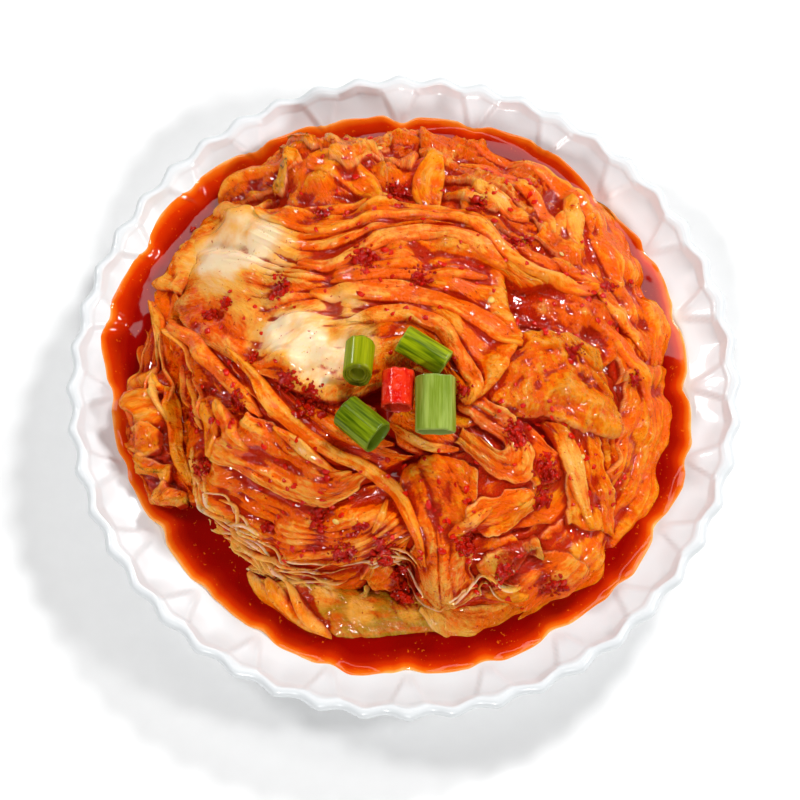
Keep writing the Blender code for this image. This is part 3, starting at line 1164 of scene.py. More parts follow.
    def lay(self, leaf: Leaf, lines: list[Array] | None = None) -> None:
        """Lays a leaf on what is there and raises the top surface to it.

        Args:
            leaf: The leaf.
            lines: Its guides as points of the map, where they aren't its own in plan.
        """
        lines = lines or [self.ground.unroll(guide) for guide in leaf.guides]
        layer = self.strip(leaf, lines[0]) if len(lines) == 1 else self.loft(leaf, lines)
        if leaf.ruffle:
            self.ruffled(leaf, layer)
        relief, arch, own = self._folds(leaf, layer)
        bed = self.ground.top.widened(0.5).softened(1.2)
        from_side = np.minimum(layer.across, layer.width - layer.across)
        from_end = np.minimum(layer.along, layer.length - layer.along)
        margin = np.minimum(from_side, from_end * 1.5)
        rim = np.sqrt(1 - (1 - np.clip(margin / self.RIM, 0, 1)) ** 2)
        if len(lines) == 1:
            spread = (2 * layer.across / layer.width.clip(1e-6) - 1).clip(-1, 1)
            body = leaf.thick * (1 - spread**2) ** 0.8 * smooth(0.0, leaf.taper, from_end)
        else:
            body = leaf.thick * rim
            relief = relief * (0.45 + 0.55 * smooth(0.0, 4.0, margin))
        flutter = leaf.ruffle * 0.9 * np.exp(-from_side / 2.5)
        flutter = flutter * (1 + noise(layer.along / 6, 0.0, leaf.seed + 12))
        lifted = leaf.lift * smooth(0.0, 5.0, margin)
        floor = self.ground.top.read(layer.a, layer.b)
        height = bed.read(layer.a, layer.b) + body + relief * rim + lifted + flutter * (leaf.width == 0)
        height = np.maximum(height, floor + 0.15 + 0.3 * relief * rim)
        height = height * rim + (floor - 0.2) * (1 - rim)
        self._raise(layer, height)
        # the pale rim along the edge: the thin edge's own paler colour, and a painted rim highlight
        pale_edge_and_rim_highlight = leaf.thin * (1 - smooth(0.25, 1.0, margin))
        share = layer.along / layer.length
        pale = leaf.pale[0] + (leaf.pale[1] - leaf.pale[0]) * smooth(0.15, 0.85, share)
        if len(lines) == 1:
            pale = pale * smooth(0.0, leaf.taper, from_end) * (1 - 0.5 * spread**2)
        tone = leaf.tone + 0.35 * (own - 0.5)
        seeds = np.full_like(tone, leaf.seed * 3.7)
        stretch = 1.0 if leaf.blade is Blade.RIBBED else 2.6
        looks = {
            "make": np.stack([pale + 0.2 * (own - 0.5), tone, arch], axis=-1),
            "kind": np.stack([pale_edge_and_rim_highlight, np.full_like(tone, leaf.green), np.zeros_like(tone)], axis=-1),
            "grain": np.stack([layer.along * stretch, layer.across, seeds], axis=-1),
            "red": np.full_like(tone, leaf.red)[..., None],
        }
        self._add(layer, height, looks)

    def _raise(self, layer: Layer, height: Array) -> None:
        """Raises the top surface to a laid leaf, at twice its own density.

        Args:
            layer: The leaf's grid.
            height: The height of each of its points.
        """

        def doubled(values: Array) -> Array:
            """Puts in the middles of a grid's steps, both ways.

            Args:
                values: The grid's values.

            Returns:
                The denser grid's values.
            """
            for axis in (0, 1):
                ahead = np.take(values, range(1, values.shape[axis]), axis)
                back = np.take(values, range(values.shape[axis] - 1), axis)
                both = np.stack([back, (back + ahead) / 2], axis=axis + 1)
                shape = list(values.shape)
                shape[axis] = 2 * (values.shape[axis] - 1)
                last = np.take(values, [-1], axis)
                values = np.concatenate([both.reshape(shape), last], axis=axis)
            return values

        self.ground.top.raise_to(doubled(layer.a), doubled(layer.b), doubled(height))

    def _add(self, layer: Layer, height: Array, looks: dict[str, Array]) -> None:
        """Stores a laid leaf with a skirt that closes its edge down to what lies below.

        Args:
            layer: The leaf's grid.
            height: The height of each of its points.
            looks: What its finish reads.
        """

        def hemmed(values: Array) -> Array:
            """The grid with its border repeated."""
            pads = [(1, 1), (1, 1)] + [(0, 0)] * (values.ndim - 2)
            return np.pad(values, pads, mode="edge")

        border = np.pad(np.zeros(height.shape, bool), 1, constant_values=True)
        tall = hemmed(height) - self.SKIRT * border
        looks = {name: hemmed(values) for name, values in looks.items()}
        patch = Patch(np.zeros((*tall.shape, 3)), looks, (layer.length, float(layer.width.max())))
        patch.unrolled = (hemmed(layer.a), hemmed(layer.b), tall)
        self.patches.append(patch)

    def settle(
        self,
        press: Callable[[Array], Array],
        rest: Callable[[Array], Array],
        reds: Sequence[Spot],
        washed: Sequence[Spot],
    ) -> None:
        """Presses the heap under what lies on it, and works out folds, crests and sauce.

        Args:
            press: Gives the highest that the surface may stand at plan points in millimetres.
            rest: Gives the lowest that it may, on the plate.
            reds: Red spots, where sauce has stained the leaves and, along the near edge, painted shadow: the
                middle, the radius and the strength.
            washed: Places of the stem from which the sauce has run off.
        """
        top = self.ground.top
        low = top.widened(2.5, lowest=True)
        near, wide = top.softened(1.3), top.softened(4.5)
        for patch in self.patches:
            a, b, height = patch.unrolled
            under = wide.read(a, b) - height
            shallow = near.read(a, b) - height
            # cavity and crest are read by the finish: the creases take sauce red and painted shade, the
            # crests painted highlight
            cavity = smooth(-0.3, 2.4, under) * 0.75 + smooth(-0.1, 1.0, shallow) * 0.6
            crest = smooth(-0.2, 1.6, -under) * 0.7 + smooth(0.0, 0.6, -shallow) * 0.5
            hidden = height < low.read(a, b) - 0.6
            patch.kept = ~(hidden[1:, 1:] & hidden[:-1, 1:] & hidden[1:, :-1] & hidden[:-1, :-1])
            points = self.ground.raised(a, b, height)
            points[..., 2] = np.maximum(points[..., 2], rest(points / MM) * MM)
            points[..., 2] = np.minimum(points[..., 2], press(points / MM) * MM)
            patch.points = points
            # some red spots along the near edge are painted shadow
            red = patch.looks.pop("red")[..., 0] + spotted(points, reds)
            patch.looks["kind"][..., 2] = spotted(points, washed)
            patch.looks["lie"] = np.stack([cavity, crest, red], axis=-1)


# ---- the cabbage


# Where the leaves lie in plan, in millimetres, from the far side of the plate to the near side.
BLADES: tuple[Leaf, ...] = (
    # down the left side, below the stem
    Leaf((
        ((-84, 32), (-84, 12), (-82, -6), (-77, -24), (-68, -44)),
        ((-80, 28), (-76, 12), (-72, -4), (-68, -20), (-61, -38)),
        ((-76, 28), (-69, 14), (-64, 0), (-60, -15), (-54, -32)),
        ((-72, 22), (-63, 8), (-56, -4), (-52, -17), (-46, -29)),
        ((-64, 12), (-55, 0), (-48, -10), (-43, -20), (-36, -30)),
    ), depth=1.5, tone=0.35, pale=(0.0, 0.15), wrinkle=1.3, seed=11),
    # crumpled leaves along the back
    Leaf((
        ((-72, 60), (-60, 72), (-46, 80), (-30, 86), (-10, 90), (8, 90)),
        ((-68, 60), (-57, 69), (-44, 75), (-30, 80), (-12, 83), (6, 84)),
        ((-63, 59), (-52, 65), (-40, 69), (-26, 73), (-10, 76), (6, 77)),
        ((-56, 60), (-46, 62), (-36, 64), (-24, 66), (-10, 68), (4, 69)),
    ), depth=1.4, tone=0.45, wrinkle=1.2, seed=12),
    Leaf((
        ((4, 90), (22, 88), (40, 82), (56, 70), (68, 56)),
        ((6, 83), (22, 80), (37, 74), (50, 64), (61, 52)),
        ((6, 74), (20, 72), (34, 67), (45, 58), (54, 48)),
        ((4, 64), (18, 63), (30, 60), (40, 53), (48, 44)),
    ), depth=1.4, pale=(0.1, 0.25), seed=14),
    Leaf((
        ((-42, 66), (-30, 72), (-16, 72), (-5, 66)),
        ((-40, 58), (-28, 63), (-16, 62), (-5, 58)),
        ((-36, 51), (-24, 53), (-14, 53), (-4, 53)),
    ), depth=0.9, tone=0.7, wrinkle=0.6, lift=0.6, seed=13),
    # down the right side
    Leaf((
        ((58, 68), (71, 56), (81, 40), (88, 20), (90, 0)),
        ((54, 60), (65, 48), (74, 34), (81, 17), (84, 0)),
        ((48, 52), (59, 41), (67, 28), (73, 13), (76, -2)),
        ((42, 44), (53, 34), (60, 22), (65, 9), (68, -4)),
    ), Blade.RIBBED, depth=1.1, tone=0.62, pale=(0.1, 0.15), thin=0.7, seed=15),
    Leaf((
        ((88, 8), (89, -10), (86, -28), (78, -46), (66, -60), (54, -70)),
        ((82, 6), (83, -10), (80, -26), (72, -43), (61, -56), (49, -66)),
        ((75, 4), (77, -11), (74, -25), (67, -40), (57, -51), (45, -61)),
        ((68, 0), (70, -12), (68, -25), (62, -37), (52, -47), (42, -55)),
    ), Blade.RIBBED, folds=2, depth=0.9, tone=0.8, pale=(0.15, 0.2), thin=0.7, seed=16),
    # layered along the near edge
    Leaf((
        ((2, -76), (11, -77), (20, -77.5), (29, -76.5), (38, -73), (47, -67), (57, -59)),
        ((3, -70), (11, -72), (20, -72.5), (29, -71.5), (37, -68), (45, -62), (53, -55)),
        ((6, -65), (13, -67), (21, -67.5), (29, -66), (36, -63), (42, -57)),
    ), Blade.RIBBED, folds=2, depth=1.0, tone=0.4, pale=(0.15, 0.15), thin=0.9, seed=17),
    Leaf((
        ((24, -61), (31, -57), (38, -54), (44, -53)),
        ((27, -65), (33, -62), (39, -59), (45, -57)),
    ), depth=0.8, pale=(0.4, 0.4), green=0.4, wrinkle=1.2, lift=0.1, seed=27),
    # the smooth wet leaf right of the great one
    Leaf((
        ((26, 34), (42, 31), (58, 27), (72, 20)),
        ((27, 24), (42, 21), (56, 16), (69, 9)),
        ((27, 14), (40, 11), (52, 7), (65, 1)),
    ), depth=0.9, tone=0.3, wrinkle=0.6, red=0.1, seed=18),
    Leaf((
        ((47, -18), (50, -28), (51, -38), (53, -50)),
        ((54, -18), (57, -28), (59, -38), (61, -50)),
        ((61, -22), (64, -31), (67, -39), (68, -48)),
    ), Blade.RIBBED, folds=2, depth=1.0, tone=0.75, pale=(0.2, 0.2), thin=0.7, seed=29),
    # between the stem and the fan
    Leaf((
        ((-54, 2), (-47, -9), (-40, -20), (-32, -29), (-22, -36), (-12, -41)),
        ((-48, 1), (-41, -9), (-33, -18), (-24, -26), (-14, -31), (-4, -34)),
        ((-42, -4), (-34, -12), (-26, -19), (-17, -25), (-8, -28), (3, -31)),
    ), Blade.RIBBED, folds=2, depth=1.2, tone=0.4, red=0.15, seed=25),
    # the leaf that fans out over the lower left, its lacy edge and the fold above it
    Leaf((
        ((-55, -25), (-46, -31), (-38, -35), (-30, -40), (-22, -42), (-12, -39), (-2, -37)),
        ((-62, -30), (-52, -37), (-43, -42), (-34, -47), (-26, -50), (-18, -49), (-8, -44), (-1, -42)),
        ((-65, -35), (-54, -41.5), (-44, -46), (-34, -50.5), (-24, -53), (-14, -52), (-4, -47), (2, -45)),
        ((-67, -40), (-55, -46), (-45, -50.5), (-34, -54), (-22, -56), (-12, -55), (-2, -50), (4, -48)),
        ((-67, -45), (-55, -51), (-44, -55.5), (-32, -57.5), (-20, -59), (-9, -57), (1, -52.5), (6, -51)),
        ((-64, -51), (-53, -56), (-43, -60), (-31, -62), (-19, -63), (-8, -60), (2, -55)),
        ((-59, -56), (-49, -61), (-40, -65), (-30, -67.5), (-19, -68), (-9, -63.5), (0, -59)),
        ((-55, -61), (-46, -66), (-38, -70), (-29, -72.5), (-20, -72), (-11, -67), (-3, -62)),
    ), Blade.RIBBED, folds=2, depth=1.2, pale=(0.25, 0.25), tone=0.65, seed=20),
    Leaf((
        ((-69, -39), (-64, -48), (-57, -55), (-48, -62), (-40, -67), (-30, -71), (-20, -71.5),
         (-12, -67)),
        ((-70, -43), (-66, -52), (-59, -59), (-50, -66), (-41, -71), (-30, -74.5), (-19, -74.5),
         (-10, -69)),
    ), depth=0.6, pale=(0.5, 0.5), thin=0.8, wrinkle=1.5, ruffle=1.4, red=0.2, seed=26),
    Leaf((
        ((-45, -16), (-39, -21), (-33, -26), (-27.5, -31), (-22, -35)),
        ((-51, -21), (-44, -26), (-37, -30), (-31, -34), (-25, -37), (-18, -36)),
        ((-57, -24), (-49, -30), (-42.5, -34.5), (-37, -37.5), (-30.5, -41), (-23.5, -42), (-17, -37)),
        ((-59, -28), (-50, -33.5), (-42, -38.5), (-34, -43), (-27, -46.5), (-21, -45), (-15, -41),
         (-10, -36)),
    ), Blade.RIBBED, folds=2, pale=(0.3, 0.4), tone=0.65, thin=0.8, thick=1.2, lift=1.3, seed=28),
    # folds that fall from the middle to the near side
    Leaf((
        ((-4, -40), (0, -47), (3, -56), (4, -66)),
        ((0, -34), (6, -44), (9, -56), (10, -70)),
        ((8, -31), (12, -43), (13, -56), (14, -72)),
        ((17, -32), (18, -44), (18, -56), (19, -70)),
        ((23, -36), (23, -46), (23, -57), (25, -68)),
    ), pale=(0.0, 0.4), thin=1.0, wrinkle=0.5, lift=0.8, red=0.1, seed=21),
    # the golden puckered leaf right of the middle
    Leaf((
        ((24, -3), (31, 4), (40, 9), (50, 10), (61, 5)),
        ((25, -9), (36, -2), (48, 1), (58, -1), (66, -7)),
        ((27, -14), (40, -11), (52, -9), (62, -11), (68, -15)),
        ((30, -19), (42, -19), (53, -20), (60, -21), (67, -22)),
    ), depth=1.0, tone=0.75, pale=(0.15, 0.1), wrinkle=1.4, lift=0.8, red=-0.15, seed=19),
    # the folded leaf below it, and a veined flap
    Leaf((
        ((16, -9), (25, -12), (33, -16), (39, -23), (41, -31), (38, -38), (31, -38), (23, -34),
         (15, -29)),
        ((17, -12.5), (25, -16), (32, -20), (37, -26), (38, -31), (35.5, -35), (30, -34.5), (23, -31),
         (16, -26)),
        ((17, -16), (24, -19), (30, -23), (34, -27.5), (34.5, -31), (31, -31.5), (25, -28.5), (17, -23)),
        ((18, -18.5), (24, -21.5), (29, -25), (31, -28), (29, -28.8), (24, -26), (18, -21)),
    ), Blade.RIBBED, folds=1, depth=1.8, pale=(0.5, 0.2), thin=0.4, thick=1.0, lift=0.4, seed=22),
    Leaf((
        ((24, -56), (31, -53.5), (38, -50.5), (42, -47)),
        ((22, -53), (29, -50), (36, -46.5), (42, -44)),
        ((20, -50), (27, -46), (34, -43), (40, -41)),
        ((19, -46), (25, -42), (31, -41), (37, -40)),
    ), Blade.RIBBED, folds=2, depth=0.6, pale=(0.25, 0.2), tone=0.65, thin=0.9, thick=0.4, lift=0.2,
       seed=23),
    # the great leaf: a white stem at the left that fans out into ribs
    Leaf((
        ((-69, 57), (-54, 61), (-42, 52), (-33, 47), (-20, 47), (-9, 50), (0, 51), (10, 50), (20, 49),
         (27, 44), (32, 38), (37, 34), (45, 30), (55, 28)),
        ((-73, 52), (-56, 55), (-43, 46), (-32, 40), (-20, 41), (-8, 45), (2, 46), (13, 46), (22, 43),
         (28, 38), (33, 33), (39, 29), (47, 26)),
        ((-76, 45), (-59, 47), (-45, 39), (-34, 32.5), (-22, 32), (-14, 36.5), (-6, 40), (2, 41.5),
         (12, 42), (22, 39), (27, 34), (32, 29), (38, 25)),
        ((-77, 39), (-60, 38), (-46, 33), (-35, 28), (-25, 28), (-13, 29), (0, 30), (14, 32), (25, 30),
         (32, 26)),
        ((-76, 33), (-60, 29), (-45, 25.5), (-29, 23), (-15, 21.5), (0, 21.5), (9, 19), (15, 17),
         (21, 15), (27, 11), (32, 7), (37, 5)),
        ((-74, 27), (-58, 19), (-43, 17), (-28, 18.5), (-19, 15.5), (-10, 13), (0, 14), (8.5, 11),
         (12, 9), (15, 4), (20, -3), (23, -8), (21, -16)),
        ((-70, 21), (-58, 10), (-46, 4), (-36, 6), (-27, 8), (-18, 7), (-9, 9.5), (-3, 10), (4, 7),
         (9, 1), (13, -6)),
        ((-65, 14), (-55, 4), (-47, -3), (-40, -7), (-30, -12), (-19, -14), (-9, -10), (-1, -5), (5, -5),
         (9, -10)),
    ), Blade.RIBBED, folds=2, depth=1.9, thick=1.6, pale=(0.5, 0.2), tone=0.6, lift=0.8, ruffle=0.4,
       start=0.42, seed=24),
)


def strand(
    points: tuple[Point, ...], width: float, thick: float, pale: float, tone: float, **more: float
) -> Leaf:
    """A narrow rib of cabbage along a line.

    Args:
        points: The line in plan, in millimetres.
        width: Its width.
        thick: How high it stands.
        pale: How cream it is, from 0 to 1.
        tone: From 0, deep orange, to 1, golden.
        more: Any other of a leaf's fields.

    Returns:
        The rib.
    """
    seed = int(abs(points[0][0] * 31 + points[0][1] * 17 + points[-1][0] * 7)) % 9973
    details = {"folds": max(1.0, width / 2.6), "depth": 0.6, "thin": 0.1, "taper": 12.0, "ruffle": 0.0}
    details |= {"width": width, "thick": thick * 0.5, "tone": tone} | more
    return Leaf((points,), Blade.RIBBED, pale=(pale, pale), seed=seed, **details)


def lace(
    line: tuple[Point, ...], spread: float, count: int, seed: int, pale: float = 1.7, width: float = 0.8
) -> tuple[Leaf, ...]:
    """Loose thin threads along a line, such as the pale veins of a tattered edge.

    Args:
        line: Where they run in plan, in millimetres.
        spread: How far from the line they lie.
        count: How many there are.
        seed: Sets how they wander.
        pale: How pale they are.
        width: How wide they are.

    Returns:
        The threads.
    """
    draw = np.random.default_rng(seed)
    path = curve_through(np.array(line, float), PATH_STEPS)
    side = leftward(path)
    place = np.linspace(0, run_length(path), PATH_STEPS)
    veins = []
    for index in range(count):
        start = int(draw.uniform(0, 38))
        part = slice(start, min(PATH_STEPS, start + int(draw.uniform(14, 34))), 3)
        away = spread * draw.uniform(-1, 1) + 1.3 * noise(place / 6.5, index * 5.3, seed)
        away = away + spread * 0.6 * noise(place / 16, index * 3.1, seed + 1)
        points = tuple((float(x), float(y)) for x, y in (path + side * away[:, None])[part])
        paler = pale * draw.uniform(0.6, 1.0)
        wide = width * draw.uniform(0.6, 1.3)
        tone = draw.uniform(0.3, 0.9)
        veins.append(strand(points, wide, 0.35 + 0.35 * wide, paler, tone, taper=5.0, thin=0.3))
    return tuple(veins)


def shreds(line: tuple[Point, ...], spread: float, count: int, seed: int, width: float) -> tuple[Leaf, ...]:
    """Torn bits of leaf along a line, lying every way.

    Args:
        line: Where they lie in plan, in millimetres.
        spread: How far from the line they lie.
        count: How many there are.
        seed: Sets how they lie.
        width: How wide they are.

    Returns:
        The bits.
    """
    draw = np.random.default_rng(seed)
    path = curve_through(np.array(line, float), PATH_STEPS)
    bits = []
    for index in range(count):
        middle = path[int(draw.uniform(0, PATH_STEPS))] + draw.uniform(-spread, spread, 2)
        turn, length = draw.uniform(0, math.pi), draw.uniform(9, 15)
        ahead = np.array([math.cos(turn), math.sin(turn)])
        bend = np.array([-ahead[1], ahead[0]]) * draw.uniform(-2.5, 2.5)
        points = (middle - ahead * length / 2, middle + bend, middle + ahead * length / 2)
        line = tuple((float(x), float(y)) for x, y in points)
        bit = Leaf(
            (line,), width=width * draw.uniform(0.6, 1.3), depth=1.0, thick=0.4, wrinkle=1.1,
            tone=draw.uniform(0.2, 0.8), pale=(0.0, 0.3), thin=0.7, ruffle=1.2, taper=4.0,
            red=draw.uniform(-0.1, 0.25), seed=seed * 50 + index,
        )
        bits.append(bit)
    return tuple(bits)


RIBS: tuple[Leaf, ...] = (
    # back
    strand(((-70, 60), (-57, 71), (-46, 77), (-36, 80), (-20, 84)), 5, 2.4, 0.05, 0.4),
    strand(((-62, 62), (-50, 69), (-38, 71), (-24, 72)), 6, 2.2, 0.1, 0.5),
    strand(((-33, 54), (-23, 52), (-16, 53), (-6, 56), (2, 57)), 4.5, 2.0, 0.2, 0.55),
    strand(((-30, 66), (-20, 66), (-12, 60), (-8, 54)), 9, 2.2, 0.1, 0.8),
    strand(((11, 72), (8, 62), (10, 52)), 10, 2.8, 0.3, 0.95),
    strand(((22, 62), (29, 57), (35, 53), (41, 51)), 6.5, 2.6, 0.95, 0.8),
    strand(((20, 82), (33, 77), (42, 70), (49, 64), (55, 56), (60, 48)), 5, 2.2, 0.15, 0.45),
    strand(((18, 74), (28, 71), (38, 63), (44, 56), (48, 46)), 5.5, 2.2, 0.15, 0.5),
    strand(((51, 59), (54, 50), (57, 41)), 6, 2.6, 0.75, 0.75),
    strand(((60, 46), (66, 40), (70, 30)), 7, 2.0, 0.1, 0.5),
    strand(((48, 38), (54, 34), (62, 30), (70, 22)), 5, 2.0, 0.15, 0.55),
    strand(((62, 28), (67, 22), (73, 15), (78, 6)), 5, 2.2, 0.2, 0.6),
    strand(((64, 16), (70, 8), (76, -2), (79, -12)), 6, 1.8, 0.1, 0.6),
    # great leaf
    strand(((-48, 57), (-36, 51), (-28, 47), (-20, 47), (-9, 51), (0, 52), (10, 51), (19, 49), (26, 44),
        (31, 38), (37, 33), (46, 29), (55, 27), (63, 28)), 7.5, 2.8, 0.2, 0.6),
    strand(((-34, 33), (-23, 32), (-15, 36), (-6, 40), (2, 41.5), (12, 42), (21, 39), (27, 34), (32, 29)),
        5.5, 1.8, 0.5, 0.55),
    strand(((-24, 26), (-10, 26.5), (3, 27), (15, 28.5), (27, 27)), 4, 1.2, 0.3, 0.5),
    strand(((-30, 22), (-15, 21), (0, 21), (9, 19), (16, 17), (22, 14.5), (27, 11), (32, 7), (38, 5)),
        6.5, 2.0, 0.4, 0.6),
    strand(((-18, 11), (-9, 13), (1, 13.5), (9, 10.5), (13, 7), (16, 2), (20, -4), (22.5, -10),
        (20, -16)), 6, 2.2, 0.4, 0.6),
    # below the stem
    strand(((-78, 28), (-71, 18), (-65, 12), (-59, 3), (-53, -5), (-48, -11), (-43, -18)), 5, 1.8, 0.1,
        0.3),
    strand(((-61, -10), (-59, -18), (-57, -27)), 8, 2.0, 0.2, 0.85),
    strand(((-71, -26), (-65, -34), (-59, -40)), 8, 1.8, 0.15, 0.7),
    strand(((-57, -10), (-52, -20), (-47, -27)), 6, 1.6, 0.2, 0.5),
    *lace(((-76, 26), (-70, 12), (-64, -2), (-60, -18)), 5.0, 5, 55, 0.2, 2.0),
    *lace(((-70, -8), (-68, -20), (-64, -32), (-58, -42)), 4.0, 6, 56, 0.5, 2.0),
    # the long rib from the stem to the near edge
    strand(((-54, 6), (-45, -6), (-40, -14), (-34, -21), (-28, -26), (-21, -31), (-14, -34), (-8, -38),
        (-2, -43), (2, -49), (5, -55), (7, -62)), 5, 2.4, 0.2, 0.55, taper=26.0),
    strand(((-31, -15), (-24, -20), (-17, -25), (-10, -27), (-3, -28)), 4.5, 1.6, 0.3, 0.5),
    # at the lower left
    strand(((-40, -21), (-34, -26), (-28, -31), (-22, -35.5)), 4.5, 2.2, 0.95, 0.8),
    strand(((-46, -60), (-35, -58), (-25, -58), (-15, -56)), 3, 1.4, 0.3, 0.6),
    strand(((-10, -53), (-7, -48.5), (-5, -44)), 3.5, 1.6, 0.7, 0.7),
    Leaf((((-13, -61), (-4, -66), (5, -70)),), width=9, wrinkle=1.6, tone=0.3, red=0.25, ruffle=1.5,
        seed=60),
    *shreds(((-52, 66), (-38, 70), (-20, 74), (0, 73)), 4.0, 5, 62, 7.0),
    # near the middle
    strand(((-5, -21), (1, -25), (8, -28.5), (18, -29.5)), 4, 2.2, 0.75, 0.6),
    strand(((14, -54), (21, -50), (28, -46)), 5, 2.0, 0.8, 0.7),
    # right of the middle
    strand(((45, -19), (50, -23), (52.5, -28), (54, -34), (56, -40), (59, -49)), 6.5, 2.0, 0.7, 0.8,
        taper=16.0),
    # at the near side
    strand(((26, -69), (32, -68), (39, -67)), 7, 1.8, 0.1, 0.95),
    # the pale fringe of the fan, and of the folds beside it
    *lace(((-66, -30), (-64, -38), (-58, -46), (-50, -53), (-42, -59), (-33, -63.5), (-24, -66),
        (-16, -65)), 4.2, 32, 51),
    *lace(((-22, -65), (-13, -61), (-6, -59), (0, -61), (5, -66), (10, -69), (14, -65)), 2.2, 14, 52),
    *lace(((12, -68), (18, -68), (26, -64), (31, -67), (38, -64)), 1.5, 7, 53, 1.4),
)

# Places of the stem that are washed pale: the middle in plan, the radius and the strength.
WASHED: tuple[Spot, ...] = (
    ((-54, 47), 15, 0.75), ((-42, 39), 11, 0.6), ((-60, 34), 10, 0.55), ((-34, 8), 11, 0.75),
    ((-26, -2), 11, 0.8), ((-20, 16), 9, 0.5), ((-68, 44), 9, 0.45), ((-44, 8), 9, 0.45),
    ((-14, 4), 8, 0.5), ((-50, 22), 9, 0.3), ((-61, -46), 5, 0.4), ((-54, -54), 5, 0.45),
    ((-45, -61), 5, 0.45), ((-35, -66), 5, 0.5), ((-25, -69), 5, 0.45), ((-14, -74), 6, 0.35),
    ((2, -74), 5, 0.3), ((14, 77), 6, 0.3), ((26, 60), 8, 0.3), ((53, 50), 7, 0.3),
)

# Places that are red with sauce, the middle in plan, the radius and the strength; those along the near edge,
# such as (0, -69) and (-30, -68), are painted shadow under the fringe above them.
SAUCE_AND_SHADOW_SPOTS: tuple[Spot, ...] = (
    ((41, 18), 11, 0.55), ((10, -42), 9, 0.40), ((-33, -9), 6, 0.6), ((-25, -57), 8, 0.45),
    ((-8, -58), 7, 0.5), ((35, -24), 5, 0.7), ((46, -35), 6, 0.8), ((22, -55), 5, 0.8),
    ((34, -62), 7, 0.8), ((-12, 31), 6, 0.5), ((3, 26), 5, 0.4), ((-58, -8), 8, 0.35),
    ((-64, -24), 6, 0.5), ((54, 4), 5, 0.5), ((-28, 52), 6, 0.4), ((24, 54), 5, 0.5), ((-2, 58), 6, 0.6),
    ((46, -66), 5, 0.6), ((-30, -68), 6, 0.5), ((0, -69), 6, 0.8), ((22, -74), 6, 0.5),
    ((14, -72), 5, 0.4), ((51, -52), 8, 0.5), ((60, -38), 5, 0.4), ((38, -58), 6, 0.5),
    ((28, -40), 5, 0.4), ((10, -56), 6, 0.3), ((-46, -33), 6, 0.3), ((-81, -20), 8, 0.3),
    ((-77, -36), 7, 0.35), ((74, -8), 10, 0.15), ((70, -34), 9, 0.15), ((68, 24), 8, 0.12),
    ((-72, -6), 6, 0.3),
)


SIDE_LEAVES: tuple[Leaf, ...] = (
    Leaf(
        (((-81, 40), (-85, 24), (-87, 10), (-88, -4)), ((-79, 38), (-81, 22), (-82, 8), (-82, -6)),
         ((-73, 36), (-74, 20), (-74, 6), (-73, -8))),
        Blade.RIBBED, depth=1.6, tone=0.4, pale=(0.1, 0.0), red=0.1, seed=30,
    ),
    Leaf(
        (((-90, 2), (-90, -12), (-87, -26), (-79, -40)), ((-84, 4), (-83, -10), (-80, -24), (-72, -40)),
         ((-72, 4), (-71, -10), (-69, -24), (-62, -38))),
        depth=1.6, folds=2, tone=0.4, pale=(0.0, 0.1), wrinkle=1.8, red=0.1, seed=31,
    ),
    Leaf(
        (((-58, 70), (-68, 60), (-77, 48), (-83, 36)), ((-55, 66), (-64, 57), (-72, 46), (-78, 34)),
         ((-50, 62), (-59, 54), (-67, 44), (-72, 33))),
        depth=1.0, tone=0.4, pale=(0.1, 0.2), wrinkle=1.2, red=0.1, seed=39,
    ),
    strand(((-84, 32), (-80, 22), (-79, 10), (-80, 0)), 4.5, 2.0, 0.1, 0.4, red=0.1),
    strand(((-78, 18), (-76, 8), (-78, -2), (-77, -12)), 5, 2.0, 0.0, 0.35, red=0.1),
    Leaf((((-87, -2), (-83, -1), (-77, 1)),), width=8, wrinkle=1.4, tone=0.5, taper=2.0, red=0.15,
        seed=32),
    Leaf((((-87, -10), (-82, -9), (-76, -11)),), width=7, wrinkle=1.4, tone=0.4, taper=2.0, red=0.15,
        seed=33),
    Leaf((((-83, -4), (-80, -13), (-79, -20)),), width=6, wrinkle=1.4, tone=0.5, taper=2.0, seed=37),
    Leaf((((-87, -17), (-83, -20), (-77, -19)),), width=7, wrinkle=1.4, tone=0.55, taper=2.0, red=0.1,
        seed=34),
    Leaf((((-84, -24), (-79, -28), (-73, -29)),), width=7, wrinkle=1.4, tone=0.7, taper=2.0, red=0.1,
        seed=35),
    Leaf((((-79, -34), (-75, -37), (-69, -39)),), width=6, wrinkle=1.3, tone=0.5, taper=2.0, red=0.15,
        seed=36),
    strand(((-77, -2), (-75, -13), (-73, -24), (-69, -34)), 4, 1.6, 0.1, 0.6, red=0.1),
    *lace(((-83, 30), (-81, 16), (-82, 0), (-79, -16), (-72, -34)), 4.0, 5, 54, 0.5, 1.2),
)

